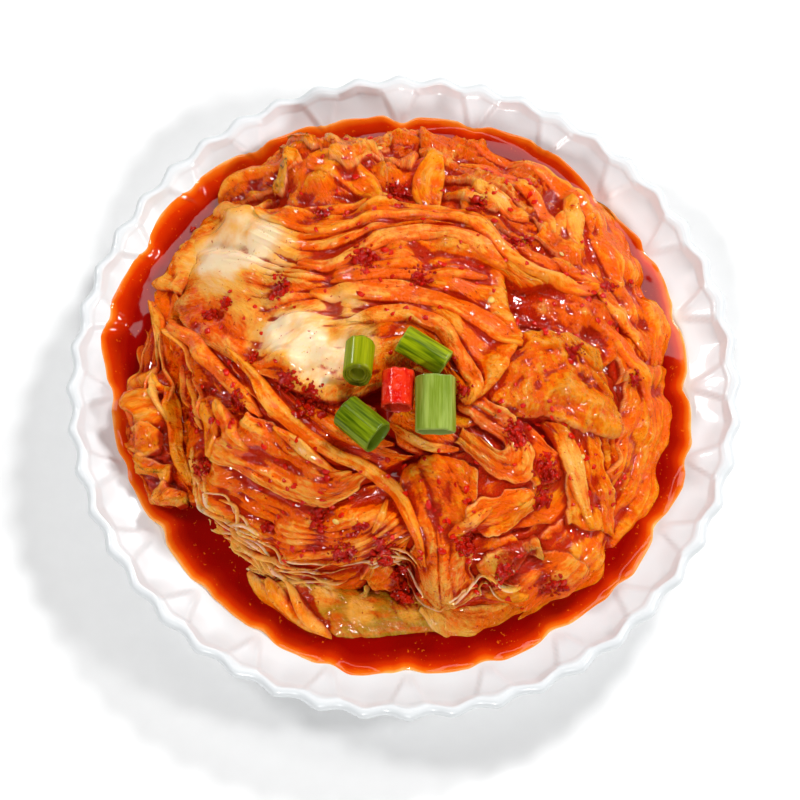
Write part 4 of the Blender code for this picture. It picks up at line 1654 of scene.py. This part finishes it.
FRONT_LEAF: tuple[Leaf, ...] = (
    Leaf((
        ((-50, -62), (-44, -67), (-39, -70)),
        ((-42, -64), (-36, -71), (-29, -78)),
        ((-32, -64), (-26, -73), (-19, -82)),
        ((-20, -66), (-14, -74), (-8, -82)),
        ((-8, -67), (-4, -74), (1, -81)),
        ((4, -67), (7, -74), (12, -80)),
    ), depth=1.0, pale=(-0.1, 0.5), green=0.9, wrinkle=0.6, ruffle=0.0, seed=41),
    Leaf((((-50, -61), (-44, -68), (-36, -74), (-29, -78)),), Blade.RIBBED, width=4.5, thick=1.2,
        tone=0.6, pale=(0.0, 0.2), ruffle=0.0, seed=42),
    Leaf((((-44, -63), (-37, -71), (-28, -79), (-24, -82)),), Blade.RIBBED, width=4, thick=1.4, tone=0.75,
        pale=(0.2, 0.4), ruffle=0.0, seed=43),
    Leaf((((-38, -64), (-31, -73), (-22, -82)),), Blade.RIBBED, width=3, thick=1.2, tone=0.5,
        pale=(0.1, 0.2), ruffle=0.0, seed=45),
    Leaf((
        ((4, -74), (10, -80), (19, -84.5), (30, -83.5), (39, -78.5), (48, -71), (57, -62)),
        ((6, -71), (12, -77), (20, -80.5), (29, -79.5), (37.5, -75), (46, -68), (54, -59)),
        ((8, -69), (14, -74), (20, -76.5), (28, -75.5), (36, -71.5), (44, -65), (51, -57)),
        ((10, -67), (15, -70.5), (21, -72), (28, -71), (34, -68), (41, -62), (47, -55)),
    ), Blade.RIBBED, tone=0.7, pale=(0.6, 0.1), green=0.35, thin=0.7, ruffle=0.2, seed=44),
)


@dataclass
class Cabbage:
    """The heap of leaves, with the sauce between them.

    Its core is smaller than the CAD solid by the inset and its top is sunk; the fillers cover the core.
    """

    inset: float = 3.0
    sunk: float = 8.0
    foot: float = 9.0
    fillers: int = 90
    filler_coarseness: float = 1.4
    film_drop: float = 2.4
    film_depth: float = 1.9
    core_drop: float = 0.3
    core_depth: float = 2.8
    dome: Dome = field(init=False)

    DIRECTIONS = 72
    ABOVE_PLATE = 0.4

    def outline(self) -> Array:
        """Measures the heap.

        Returns:
            Its radius every five degrees, from the farthest points of its CAD solid.
        """
        points = node_points("cabbage_bundle") / MM
        radius, angle = np.hypot(points[:, 0], points[:, 1]), np.arctan2(points[:, 1], points[:, 0])
        row = np.round(angle / TAU * self.DIRECTIONS).astype(int) % self.DIRECTIONS
        found = np.zeros(self.DIRECTIONS)
        np.maximum.at(found, row, radius)
        return found

    def build(self, garnish: Garnish) -> None:
        """Lays every leaf and makes the pieces.

        Args:
            garnish: What lies on the heap and presses it down.
        """
        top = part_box("cabbage_bundle")[1].z / MM
        self.dome = Dome((0.0, 0.0), self.outline(), self.inset, top - self.sunk, self.foot)
        layup = Layup(self.dome)
        layup.coarse = self.filler_coarseness
        for leaf, line in self.filler_leaves():
            layup.lay(leaf, [line])
        layup.coarse = 1.0
        under = len(layup.patches)
        for leaf in BLADES:
            layup.lay(leaf)
        broad = len(layup.patches)
        for leaf in RIBS:
            layup.lay(leaf)
        layup.settle(garnish.clearance, self.rest, SAUCE_AND_SHADOW_SPOTS, WASHED)
        material = CabbageFinish().material()
        Quilt("inner_leaves", layup.patches[:under]).build("cabbage", material, "cabbage_bundle")
        for name, blade in (("crumpled_leaves", Blade.CRUMPLED), ("ribbed_leaves", Blade.RIBBED)):
            laid = zip(BLADES, layup.patches[under:broad])
            patches = [patch for leaf, patch in laid if leaf.blade is blade]
            Quilt(name, patches).build("cabbage", material)
        Quilt("ribs", layup.patches[broad:]).build("cabbage", material)
        self.film(garnish)
        side = Bank(middle=78.0, reach=11.0, crest=21.0, foot=13.0)
        front = Bank(middle=74.0, reach=11.0, crest=20.5, foot=12.0)
        self.beside("loose_leaves", "cabbage", side, SIDE_LEAVES, material, "side_leaves")
        self.beside("front_leaf_veined", "pale_cabbage", front, FRONT_LEAF, material, "front_leaf")

    @staticmethod
    def rest(points: Array) -> Array:
        """The height just above the plate at points in millimetres."""
        return Plate().plain(np.hypot(points[..., 0], points[..., 1])) + Cabbage.ABOVE_PLATE

    def beside(
        self, name: str, slot: str, bank: Bank, leaves: Sequence[Leaf], material: Material, node: str
    ) -> None:
        """Lays the leaves that lie between the heap and the sauce.

        Args:
            name: The piece's name.
            slot: Its material slot.
            bank: What they lie on.
            leaves: The leaves.
            material: Their material.
            node: The CAD node that they replace.
        """
        layup = Layup(bank)
        for leaf in leaves:
            layup.lay(leaf)
        layup.settle(lambda points: np.full(points.shape[:-1], OPEN), self.rest, SAUCE_AND_SHADOW_SPOTS, WASHED)
        Quilt(name, layup.patches).build(slot, material, node)

    def flow(self) -> Callable[[float, float], float]:
        """The direction of the fibres over the map, from the named leaves and ribs.

        Returns:
            A function that gives the angle at a point of the map.
        """
        spots, headings, reach = [], [], 9.0
        for guide in (guide for leaf in BLADES + RIBS for guide in leaf.guides):
            line = curve_through(self.dome.unroll(guide), 14)
            step = np.diff(line, axis=0)
            spots.append((line[1:] + line[:-1]) / 2)
            headings.append(2 * np.arctan2(step[:, 1], step[:, 0]))
        spot, turn = np.vstack(spots), np.concatenate(headings)

        def angle(a: float, b: float) -> float:
            """The fibres' angle at a point, from those that lie within reach of it."""
            away = (spot[:, 0] - a) ** 2 + (spot[:, 1] - b) ** 2
            weight = np.exp(-away / (2 * reach**2)) + 1e-12
            return 0.5 * math.atan2((weight * np.sin(turn)).sum(), (weight * np.cos(turn)).sum())

        return angle

    def filler_leaves(self) -> Iterable[tuple[Leaf, Array]]:
        """Broad leaves that cover the core along the flow of the named ones.

        Yields:
            Each leaf with its line on the map.
        """
        angle = self.flow()
        pace, every = 3, 3
        draw = np.random.default_rng(7)
        reach = max(self.dome.ends) + 4
        spots: list[Array] = []
        while len(spots) < self.fillers:
            spot = draw.uniform(-reach, reach, 2)
            apart = 15.0 if len(spots) < self.fillers * 0.6 else 8.0
            if np.hypot(*spot) < reach and all(np.hypot(*(spot - other)) > apart for other in spots):
                spots.append(spot)
        for index, spot in enumerate(spots):
            length, width = draw.uniform(26, 55), draw.uniform(13, 24)
            sides = []
            for sense in (-1, 1):
                here, heading, run = spot.copy(), angle(*spot) + (math.pi if sense < 0 else 0), []
                for _ in range(int(length / 2 / pace)):
                    turn = angle(*here)
                    if math.cos(turn - heading) < 0:
                        turn += math.pi
                    heading = turn
                    here = here + pace * np.array([math.cos(turn), math.sin(turn)])
                    run.append(here)
                sides.append(run)
            line = np.array(sides[0][::-1] + [spot] + sides[1])[::every]
            if len(line) < 3:
                continue
            blade = Blade.RIBBED if draw.random() < 0.5 else Blade.CRUMPLED
            leaf = Leaf(
                ((),), blade, width=width, folds=width / draw.uniform(4.0, 6.0), depth=draw.uniform(1.0, 1.6),
                wrinkle=0.9, thick=0.7, pale=(draw.uniform(-0.1, 0.3),) * 2, tone=draw.uniform(0.3, 0.75),
                thin=0.6, taper=7.0, ruffle=0.8, seed=1000 + index,
            )
            yield leaf, line

    def skin(self, name: str, height: Array, use: Array, depth: float, garnish: Garnish) -> None:
        """A sheet of sauce over the whole map.

        Args:
            name: The piece's name.
            height: How high it stands above the core, for every fourth cell.
            use: Where it is wanted.
            depth: How deep the sauce looks, in millimetres.
            garnish: What lies on the heap.
        """
        a, b = (spots[::2, ::2] for spots in self.dome.top.spots())
        points = self.dome.raised(a, b, height)
        points[..., 2] = np.maximum(points[..., 2], self.rest(points / MM) * MM)
        points[..., 2] = np.minimum(points[..., 2], garnish.clearance(points / MM) * MM)
        inside = use & (np.hypot(a, b) < max(self.dome.ends) + 8)
        kept = inside[1:, 1:] & inside[:-1, 1:] & inside[1:, :-1] & inside[:-1, :-1]
        side = 2 * self.dome.half
        looks = {"depth": np.full((*height.shape, 1), depth)}
        patch = Patch(points, looks, (side, side), kept=kept)
        Quilt(name, [patch]).build("sauce", SauceFinish(name).material())

    def film(self, garnish: Garnish) -> None:
        """The wet sauce that fills the creases between the leaves, and the core beneath them.

        Args:
            garnish: What lies on the heap.
        """
        top = self.dome.top
        level = top.softened(2.2).values - self.film_drop
        seen = level > top.widened(1.0, lowest=True).values - 0.3
        self.skin("sauce_in_folds", level[::2, ::2], seen[::2, ::2], self.film_depth, garnish)
        core = np.minimum(level, -self.core_drop)[::2, ::2]
        self.skin("soaked_core", core, np.ones_like(core, bool), self.core_depth, garnish)


# ---- garnish


@dataclass(frozen=True)
class Tube:
    """One cut tube of the garnish, which takes the place of its CAD node."""

    node: str
    length: float
    radius: float
    lean: float = 0.0
    wall: float = 1.0
    layers: int = 1
    seed: int = 1

    AROUND = 64

    def frame(self) -> tuple[Array, Array]:
        """Where the tube lies.

        Returns:
            Its middle in millimetres, and its own axes: across, up and along, one a row.
        """
        points = node_points(self.node).astype(float) / MM
        middle = points.mean(axis=0)
        spread = points - middle
        along = np.linalg.svd(spread * np.array([1.0, 1.0, 0.2]))[2][0]
        if self.length < 2 * self.radius + 1.5:
            along = np.array([0.03, 1.0, 0.0])
        far = spread @ along > 0
        along = points[far].mean(axis=0) - points[~far].mean(axis=0)
        along /= np.linalg.norm(along)
        side = np.cross([0.0, 0.0, 1.0], along)
        side /= np.linalg.norm(side)
        return middle, np.array([side, np.cross(along, side), along])

    def shell(self, outer: float, inner: float, short: float) -> Patch:
        """One layer of the tube, from its hollow out round both cut ends.

        Args:
            outer: The layer's outer radius.
            inner: Its inner radius.
            short: How much further in it is cut than the tube.

        Returns:
            The layer.
        """
        half = self.length / 2 - short
        bevel = min(0.35, (outer - inner) * 0.45)
        ends = [(inner, 0.0), (inner, half - 2.0), (inner, half - bevel), (inner + bevel, half)]
        ends += [(outer - bevel, half), (outer, half - bevel), (outer, half - 0.8)]
        body = [(outer, t) for t in np.linspace(half - 1.6, 1.6 - half, 14)]
        loop = np.array(ends + body + [(r, -t) for r, t in ends[::-1]])
        radius, t = loop[:, :1], loop[:, 1:]
        turn = turns(self.AROUND)
        bend = 0.05 * noise(np.cos(turn) * 1.5 + t * 0.06, np.sin(turn) * 1.5, self.seed)
        facets = 0.012 * np.cos(turn * 9 + self.seed) + 0.006 * np.sin(turn * 22 + t * 0.1)
        size = radius * (1 + bend + facets)
        across, up = size * np.cos(turn), size * np.sin(turn)
        ragged = 0.22 * noise(turn * 3.0, outer, self.seed + 5) * (np.abs(t) > half - 1.0)
        along = t + self.lean * up + ragged * np.sign(t)
        middle, axes = self.frame()
        points = np.stack([across, up, along], axis=-1) @ axes + middle
        cut = smooth(half - 0.5, half - 0.1, np.abs(t)) + (radius < (inner + outer) / 2)
        cut = np.broadcast_to(cut.clip(0, 1), across.shape)
        grain = np.stack(np.broadcast_arrays(t, turn * outer, self.seed * 9.0), axis=-1)
        looks = {"cut": cut, "grain": grain}
        return Patch(points * MM, looks, (run_length(loop), TAU * outer), wrapped=True)

    def build(self, slot: str, material: Material) -> None:
        """Makes the tube with its inner layers.

        Args:
            slot: Its material slot in the record.
            material: Its material.
        """
        patches, outer = [], self.radius
        for layer in range(self.layers):
            inner = outer - self.wall
            patches.append(self.shell(outer, inner, 0.25 * layer))
            outer = inner - 0.12
        Quilt(self.node + "_cut", patches).build(slot, material, self.node)


@dataclass
class Garnish:
    """The cut scallions and the red chilli."""

    scallions: tuple[tuple[Tube, ScallionFinish], ...] = (
        (
            Tube("scallion_1", length=9.8, radius=4.6, lean=0.53, wall=0.7, layers=3, seed=3),
            ScallionFinish(
                "olive_scallion",
                outer=(0.20, 0.24, 0.001), streak=(0.36, 0.38, 0.002), inner=(0.17, 0.18, 0.005),
            ),
        ),
        (
            Tube("scallion_2", length=16.0, radius=4.5, lean=0.1, wall=0.8, layers=2, seed=4),
            ScallionFinish(
                "bright_scallion",
                outer=(0.060, 0.11, 0.001), streak=(0.38, 0.46, 0.003), inner=(0.30, 0.36, 0.03),
            ),
        ),
        (
            Tube("scallion_3", length=14.0, radius=5.5, lean=0.05, wall=0.9, seed=5),
            ScallionFinish(
                "dark_scallion",
                outer=(0.045, 0.085, 0.0005), streak=(0.25, 0.33, 0.005), inner=(0.10, 0.15, 0.006),
            ),
        ),
        (
            Tube("scallion_4", length=17.4, radius=6.2, seed=6),
            ScallionFinish(
                "pale_scallion",
                outer=(0.17, 0.25, 0.01), streak=(0.35, 0.44, 0.08), inner=(0.24, 0.31, 0.07),
            ),
        ),
    )
    chilli: Tube = Tube("red_chilli", length=11.6, radius=5.1, lean=0.05, wall=1.2, seed=8)

    def build(self) -> None:
        """Makes every piece."""
        for tube, finish in self.scallions:
            tube.build("scallion", finish.material())
        self.chilli.build("chilli", ChilliFinish().material())

    def clearance(self, points: Array) -> Array:
        """How high the leaves may stand, so that they end just under the garnish.

        Args:
            points: Where, in millimetres.

        Returns:
            The height at each point.
        """
        limit = np.full(points.shape[:-1], OPEN)
        for tube in [tube for tube, _finish in self.scallions] + [self.chilli]:
            middle, (side, _up, ahead) = tube.frame()
            away = points - middle
            along = away[..., 0] * ahead[0] + away[..., 1] * ahead[1]
            across = np.abs(away[..., 0] * side[0] + away[..., 1] * side[1])
            base = middle[2] + along * ahead[2] - np.sqrt((tube.radius**2 - across**2).clip(0))
            beyond = np.maximum(np.abs(along) - tube.length / 2, across - tube.radius).clip(0)
            limit = np.minimum(limit, base - 0.2 + beyond * 2.5)
        return limit


# ---- plate and pool


@dataclass(frozen=True)
class Plate:
    """A white glazed plate whose wall has raised darts under a scalloped, beaded rim."""

    floor: Point = (66.0, 6.0)
    wall_foot: Point = (76.0, 8.2)
    wall_top: Point = (106.5, 24.4)
    bead: Point = (107.7, 24.0)
    bead_radius: float = 2.15
    scallops: int = 48
    scallop_depth: float = 1.9
    darts: int = 24
    dart_foot: float = 93.0
    dart_height: float = 0.85
    ridge_height: float = 0.4
    phase: float = math.radians(0.8)
    half_width: float = math.radians(3.3)
    wall_rings: int = 42
    steps: int = 720

    def plain(self, radius: Array) -> Array:
        """Height of the floor and wall before the pattern is pressed in."""
        knots = (self.floor, self.wall_foot, self.wall_top)
        return np.interp(radius, [r for r, _z in knots], [z for _r, z in knots])

    def relief(self, radius: Array, angle: Array) -> Array:
        """The pattern of the wall: flat darts with ridges at their sides, and scoops between.

        Args:
            radius: The radius of each point.
            angle: Its angle from +X.

        Returns:
            How far the pattern lifts the wall there.
        """
        along = (radius - self.dart_foot) / (self.wall_top[0] - self.dart_foot)
        away = np.abs((((angle - self.phase) * self.darts + math.pi) % TAU) - math.pi) / self.darts
        half = self.half_width * along.clip(0, 1)
        inside = 1 - smooth(0.0, 1.0, (away - half * 0.80) / (half * 0.20 + math.radians(0.8)))
        scoop = smooth(0.0, 1.0, (away - half) / (math.pi / self.darts - half))
        fade = 1 - smooth(0.86, 1.08, along)
        ridge = np.exp(-(((away - half) / math.radians(0.32)) ** 2)) * smooth(0.05, 0.35, along)
        darts = self.dart_height * smooth(0.0, 0.45, along) * (inside - 0.45 * scoop)
        return (darts + self.ridge_height * ridge) * fade

    def wall(self, radius: Array, angle: Array) -> Array:
        """Height of the upper surface inside the rim."""
        return self.plain(radius) + self.relief(radius, angle)

    def profile(self) -> Array:
        """The section from the middle over the rim and back under to the middle.

        Returns:
            The radius and the height of its points, one a row.
        """
        inner = [(0.02, 6.0), (20.0, 6.0), (45.0, 6.0), (60.0, 6.0)]
        rings = np.linspace(self.floor[0], 104.9, self.wall_rings)
        inner += [(radius, float(self.plain(radius))) for radius in rings]
        (middle, height), size = self.bead, self.bead_radius
        sweep = np.radians(np.linspace(128, -112, 22))
        bead = [(middle + size * math.cos(turn), height + size * math.sin(turn)) for turn in sweep]
        under = [(106.2, 21.2), (104.0, 19.9), (95.0, 15.1), (85.0, 9.9), (76.0, 5.2)]
        under += [(69.5, 2.0), (66.0, 1.0)]
        foot = [(64.6, 0.35), (63.6, 0.02), (58.4, 0.0), (57.2, 0.3), (56.4, 1.2), (55.2, 1.9), (52.0, 2.0)]
        return np.array(inner + bead + under + foot + [(25.0, 2.0), (0.02, 2.0)])

    def build(self) -> None:
        """Makes the plate."""
        profile = self.profile()
        radius = profile[:, :1]
        angle = turns(self.steps)
        rim = smooth(98, 110, radius)
        wave = np.abs(np.sin((angle - self.phase) * self.scallops / 2)) ** 1.6
        reach = radius - self.scallop_depth * rim * wave
        # the floor, the wall and the bead's inmost point
        upper = np.arange(len(profile))[:, None] < self.wall_rings + 5
        height = profile[:, 1:] + self.relief(radius, angle) * upper
        height = height + 0.35 * np.cos((angle - self.phase) * self.scallops) * smooth(101, 108, radius)
        points = np.stack([reach * np.cos(angle), reach * np.sin(angle), height], axis=-1) * MM
        patch = Patch(points, {}, (run_length(profile), TAU * 110), wrapped=True)
        shades = ((0.745, 0.77, 0.785), (0.735, 0.76, 0.775))
        glaze = PlainFinish("white_glaze", *shades, roughness=0.35, scale=30.0, coat=0.3)
        Quilt("glazed_plate", [patch]).build("plate", glaze.material(), "plate")


@dataclass(frozen=True)
class Pool:
    """The red sauce that stands between the cabbage and the plate's wall."""

    plate: Plate
    level: float = 17.6
    inner: float = 58.0
    steps: int = 720
    rings: int = 44
    # where it stands highest: the angle and how far that reaches
    brims: tuple[Point, ...] = ((1.25, 0.55), (0.10, 0.60), (2.75, 0.35))
    brim_height: float = 1.3
    # the radius of its edge every ten degrees from +X
    edge: tuple[float, ...] = (
        92.5, 93.5, 93.5, 95.5, 94, 95, 98, 97.5, 97, 96.5, 98, 98.5, 99, 100.5, 101.5, 100, 101, 101.5,
        96.5, 95.5, 94, 91.5, 92.5, 92, 92.5, 94.5, 95.5, 93, 94, 94.5, 93.5, 94.5, 96, 93.5, 96, 95,
    )

    def edge_radius(self, angle: Array) -> Array:
        """The sauce's edge, which draws in where the plate's darts rise.

        Args:
            angle: Angles from +X.

        Returns:
            The radius of the edge at each.
        """
        corners = np.append(self.edge, self.edge[0])
        radius = np.interp(angle % TAU, np.linspace(0, TAU, len(corners)), corners)
        dart = np.cos((angle - self.plate.phase) * self.plate.darts).clip(0) ** 2
        small = 0.5 * noise(np.cos(angle) * 14, np.sin(angle) * 14, 61)
        return radius - 1.5 * dart + small + 0.5

    def build(self) -> None:
        """Makes the pool."""
        angle = turns(self.steps)
        share = np.linspace(0, 1, self.rings)[:, None] ** 0.7
        edge = self.edge_radius(angle)
        radius = self.inner + (edge - self.inner) * share
        bed = self.plate.wall(radius, angle)
        x, y = radius * np.cos(angle), radius * np.sin(angle)
        gap = edge - radius
        film = 0.10 + 0.75 * smooth(0.0, 3.0, gap) * (0.75 + 0.4 * noise(x / 5, y / 5, 62))
        waves = 0.35 * noise(x / 16, y / 16, 63) + 0.10 * noise(x / 6, y / 6, 64)
        away = [(np.abs((angle - turn + math.pi) % TAU - math.pi), spread) for turn, spread in self.brims]
        brim = sum(smooth(spread, 0.0, turn) for turn, spread in away)
        calm = self.level + self.brim_height * brim
        calm = calm + waves * smooth(1.0, 6.0, gap) + 0.9 * smooth(9.0, 22.0, gap)
        top = np.maximum(calm, bed + film)
        height = top * smooth(0.0, 0.5, gap) + (bed - 0.3) * (1 - smooth(0.0, 0.5, gap))
        depth = np.minimum(0.45 * gap, 0.6 * (top - bed).clip(0) + 0.28 * gap)
        points = np.stack([x, y, height], axis=-1) * MM
        patch = Patch(points, {"depth": depth[..., None]}, (36.0, TAU * 85), wrapped=True)
        Quilt("sauce_pool", [patch]).build("sauce", SauceFinish().material(), "sauce")


# ---- chilli flakes, paste and seeds


@dataclass(frozen=True)
class Morsels:
    """Many small bits of one kind that lie on the heap in clusters.

    A cluster is its middle in plan, its radius and how many bits it has.
    """

    name: str
    slot: str
    size: float
    stretch: float
    flat: float
    lumpy: float
    clusters: tuple[tuple[Point, float, int], ...]
    rows: int = 5
    around: int = 8
    seed: int = 1

    def build(self, ground: Ground, press: Callable[[Array], Array], material: Material) -> None:
        """Strews them on the surface that has been laid.

        Args:
            ground: The ground, with its top surface.
            press: Gives the highest that the surface may stand at plan points in millimetres.
            material: Their material.
        """
        draw = np.random.default_rng(self.seed)
        row = np.linspace(0.06, math.pi - 0.06, self.rows)[:, None]
        turn = turns(self.around)
        sides = (np.sin(row) * np.cos(turn), np.sin(row) * np.sin(turn), np.cos(row))
        ball = np.stack(np.broadcast_arrays(*sides), axis=-1)
        patches = []
        for point, radius, count in self.clusters:
            middle = ground.unroll([point])[0]
            spots = middle + draw.normal(0, radius * 0.5, (count, 2))
            heights = ground.top.read(spots[:, 0], spots[:, 1])
            places = ground.raised(spots[:, 0], spots[:, 1], heights) / MM
            places[:, 2] = np.maximum(places[:, 2], Cabbage.rest(places) + 1.0)
            places[:, 2] = np.minimum(places[:, 2], press(places))
            normals = ground.normal_grid.read(spots[:, 0], spots[:, 1])
            for place, normal in zip(places, normals):
                up = normal + draw.normal(0, 0.35, 3)
                up /= np.linalg.norm(up)
                side = np.cross(up, draw.normal(0, 1, 3))
                side /= np.linalg.norm(side)
                axes = np.array([side * self.stretch, np.cross(up, side), up * self.flat])
                size = self.size * draw.uniform(0.55, 1.25)
                bumps = 1 + self.lumpy * draw.uniform(-1, 1, ball.shape[:2])[..., None]
                points = place + normal * size * self.flat * 0.35 + size / 2 * (ball * bumps) @ axes
                patches.append(Patch(points * MM, {}, (size * 1.5, size * 3), wrapped=True))
        Quilt(self.name, patches).build(self.slot, material)


# Where paste has gathered: the middle in plan, the radius and how many grains.
GATHERED: tuple[tuple[Point, float, int], ...] = (
    ((-67, 55), 3.0, 30), ((-57, 23), 2.0, 14), ((-62, 20), 2.0, 14), ((-39, 24), 3.0, 34),
    ((-13, 33), 4.0, 36), ((-47, 2), 1.6, 10), ((5, 27), 3.0, 16), ((35, 42), 2.0, 10),
    ((40, 43), 2.0, 10), ((40, 77), 3.0, 18), ((24, 54), 3.0, 18), ((54, 4), 2.5, 12),
    ((35.5, -24), 3.5, 40), ((45, -34), 3.5, 46), ((45, -43), 3.0, 36), ((20, -56), 3.5, 34),
    ((31, -62), 4.0, 34), ((45, -63), 3.5, 28), ((-27, -49), 2.5, 20), ((-14, -51), 2.0, 14),
    ((-19, -57), 3.5, 34), ((-43, -49), 1.5, 10), ((-65, -12), 3.5, 34), ((-62, -28), 3.5, 30),
    ((-29, -14), 4.0, 60), ((-36, -7), 3.0, 36), ((-50, -12), 3.0, 22), ((-2, 60), 3.5, 34),
    ((-26, 51), 2.5, 16), ((-6, -58), 3.5, 40), ((-2, -64), 2.5, 30), ((0, -69), 3.0, 36),
    ((18, -12), 2.0, 12), ((66, 30), 2.5, 14), ((72, -2), 2.5, 12), ((-80, -26), 3.0, 20),
)

LUMPS = Morsels(
    "chilli_paste", "chilli_flakes", size=1.9, stretch=1.35, flat=0.5, lumpy=0.36,
    clusters=tuple((point, radius, max(3, count // 3)) for point, radius, count in GATHERED),
    rows=7, around=12, seed=70,
)

GRAINS = Morsels(
    "chilli_grains", "chilli_flakes", size=0.95, stretch=1.3, flat=0.6, lumpy=0.4,
    clusters=tuple((point, radius, int(count * 2.4)) for point, radius, count in GATHERED),
    rows=4, around=7, seed=71,
)

FLAKES = Morsels(
    "chilli_flakes", "chilli_flakes", size=1.8, stretch=1.3, flat=0.22, lumpy=0.35,
    clusters=(
        ((-60, 22), 9.0, 10), ((-40, 20), 14.0, 12), ((-10, 34), 18.0, 26), ((20, 40), 18.0, 20),
        ((35, 60), 18.0, 24), ((-20, 66), 20.0, 26), ((55, 20), 18.0, 26), ((40, -20), 18.0, 26),
        ((10, -45), 20.0, 34), ((-30, -45), 22.0, 40), ((-60, -15), 16.0, 26), ((60, -35), 16.0, 20),
        ((30, -66), 14.0, 18), ((0, 10), 18.0, 12),
    ),
    seed=72,
)

SEEDS = Morsels(
    "chilli_seeds", "seeds", size=2.2, stretch=1.15, flat=0.35, lumpy=0.05,
    clusters=(
        ((28, 19), 0.5, 1), ((-22, -46), 3.0, 1), ((52, 40), 3.0, 1), ((-8, 72), 3.0, 1), ((58, -30), 3.0, 1),
    ),
    seed=73,
)

PASTE = PlainFinish("chilli_paste", (0.60, 0.012, 0.0), (0.34, 0.002, 0.0), roughness=0.10, scale=500.0)
FLAKE = PlainFinish("chilli_flake", (0.72, 0.012, 0.0), (0.55, 0.006, 0.0), roughness=0.15, scale=300.0)
SEED = PlainFinish("chilli_seed", (0.85, 0.55, 0.12), (0.75, 0.40, 0.08), roughness=0.35, scale=600.0)


# ---- studio


@dataclass(frozen=True)
class Lamp:
    """A rectangular lamp that faces the dish, with its size in metres and its power in watts."""

    name: str
    place: Triple
    size: Point
    power: float

    def build(self) -> None:
        """Hangs the lamp."""
        data = bpy.data.lights.new(self.name, "AREA")
        data.shape, data.energy = "RECTANGLE", self.power
        data.size, data.size_y = self.size
        made = bpy.data.objects.new(self.name, data)
        made.location = self.place
        towards = Vector((0, 0, 0.03)) - Vector(self.place)
        made.rotation_euler = towards.to_track_quat("-Z", "Y").to_euler()
        bpy.context.scene.collection.objects.link(made)


@dataclass(frozen=True)
class Studio:
    """The floor, the lights and the camera, in metres."""

    lamps: tuple[Lamp, ...] = (
        Lamp("overhead_softbox", (0.0, 0.53, 1.18), (0.9, 0.25), 2.3),
        Lamp("right_key", (0.60, 0.75, 0.85), (0.2, 0.2), 9.4),
        Lamp("left_key", (-0.85, 0.35, 0.85), (0.2, 0.2), 5.2),
        Lamp("right_fill", (0.90, -0.1, 0.75), (0.16, 0.16), 4.3),
        Lamp("front_fill", (-0.1, -1.0, 0.80), (0.2, 0.2), 8.0),
    )
    air_light: float = 0.03
    floor_half: float = 4.0
    floor_drop: float = 0.0002
    camera_away: float = 0.773
    camera_tilt: float = math.radians(72.44)
    lens: float = 107.2
    film: float = 36.0
    shift: Point = (-0.005, -0.021)

    def build(self) -> None:
        """Makes them all."""
        scene = bpy.context.scene
        scene.view_settings.view_transform = "Standard"
        self.floor()
        for lamp in self.lamps:
            lamp.build()
        scene.world = bpy.data.worlds.new("studio")
        scene.world.use_nodes = True
        background = scene.world.node_tree.nodes["Background"].inputs
        background["Color"].default_value = (1.0, 1.0, 1.0, 1.0)
        background["Strength"].default_value = self.air_light
        self.camera()

    def floor(self) -> None:
        """A large plain floor."""
        mesh = bpy.data.meshes.new("floor")
        side = self.floor_half
        corners = [(-side, -side, 0), (side, -side, 0), (side, side, 0), (-side, side, 0)]
        mesh.from_pydata(corners, [], [(0, 1, 2, 3)])
        shades = ((0.93, 0.93, 0.93), (0.94, 0.94, 0.94))
        mesh.materials.append(PlainFinish("floor", *shades, roughness=0.8).material())
        made = bpy.data.objects.new("floor", mesh)
        bpy.context.scene.collection.objects.link(made)
        made.location.z = -self.floor_drop

    def camera(self) -> None:
        """A long lens that looks steeply down at the dish."""
        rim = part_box("plate")[1].z
        away, tilt = self.camera_away, self.camera_tilt
        data = bpy.data.cameras.new("camera")
        data.lens, data.sensor_width = self.lens, self.film
        data.shift_x, data.shift_y = self.shift
        made = bpy.data.objects.new("camera", data)
        made.location = (0.0, -away * math.cos(tilt), rim + away * math.sin(tilt))
        made.rotation_euler = (math.pi / 2 - tilt, 0.0, 0.0)
        bpy.context.scene.collection.objects.link(made)
        bpy.context.scene.camera = made


def main() -> None:
    """Builds the dish and its studio."""
    logging.basicConfig(level=logging.INFO, format="%(message)s")
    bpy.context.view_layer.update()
    plate = Plate()
    plate.build()
    Pool(plate).build()
    garnish = Garnish()
    garnish.build()
    cabbage = Cabbage()
    cabbage.build(garnish)
    for finish, kinds in ((PASTE, (LUMPS, GRAINS)), (FLAKE, (FLAKES,)), (SEED, (SEEDS,))):
        material = finish.material()
        for morsels in kinds:
            morsels.build(cabbage.dome, garnish.clearance, material)
    Studio().build()


if __name__ == "__main__":
    main()
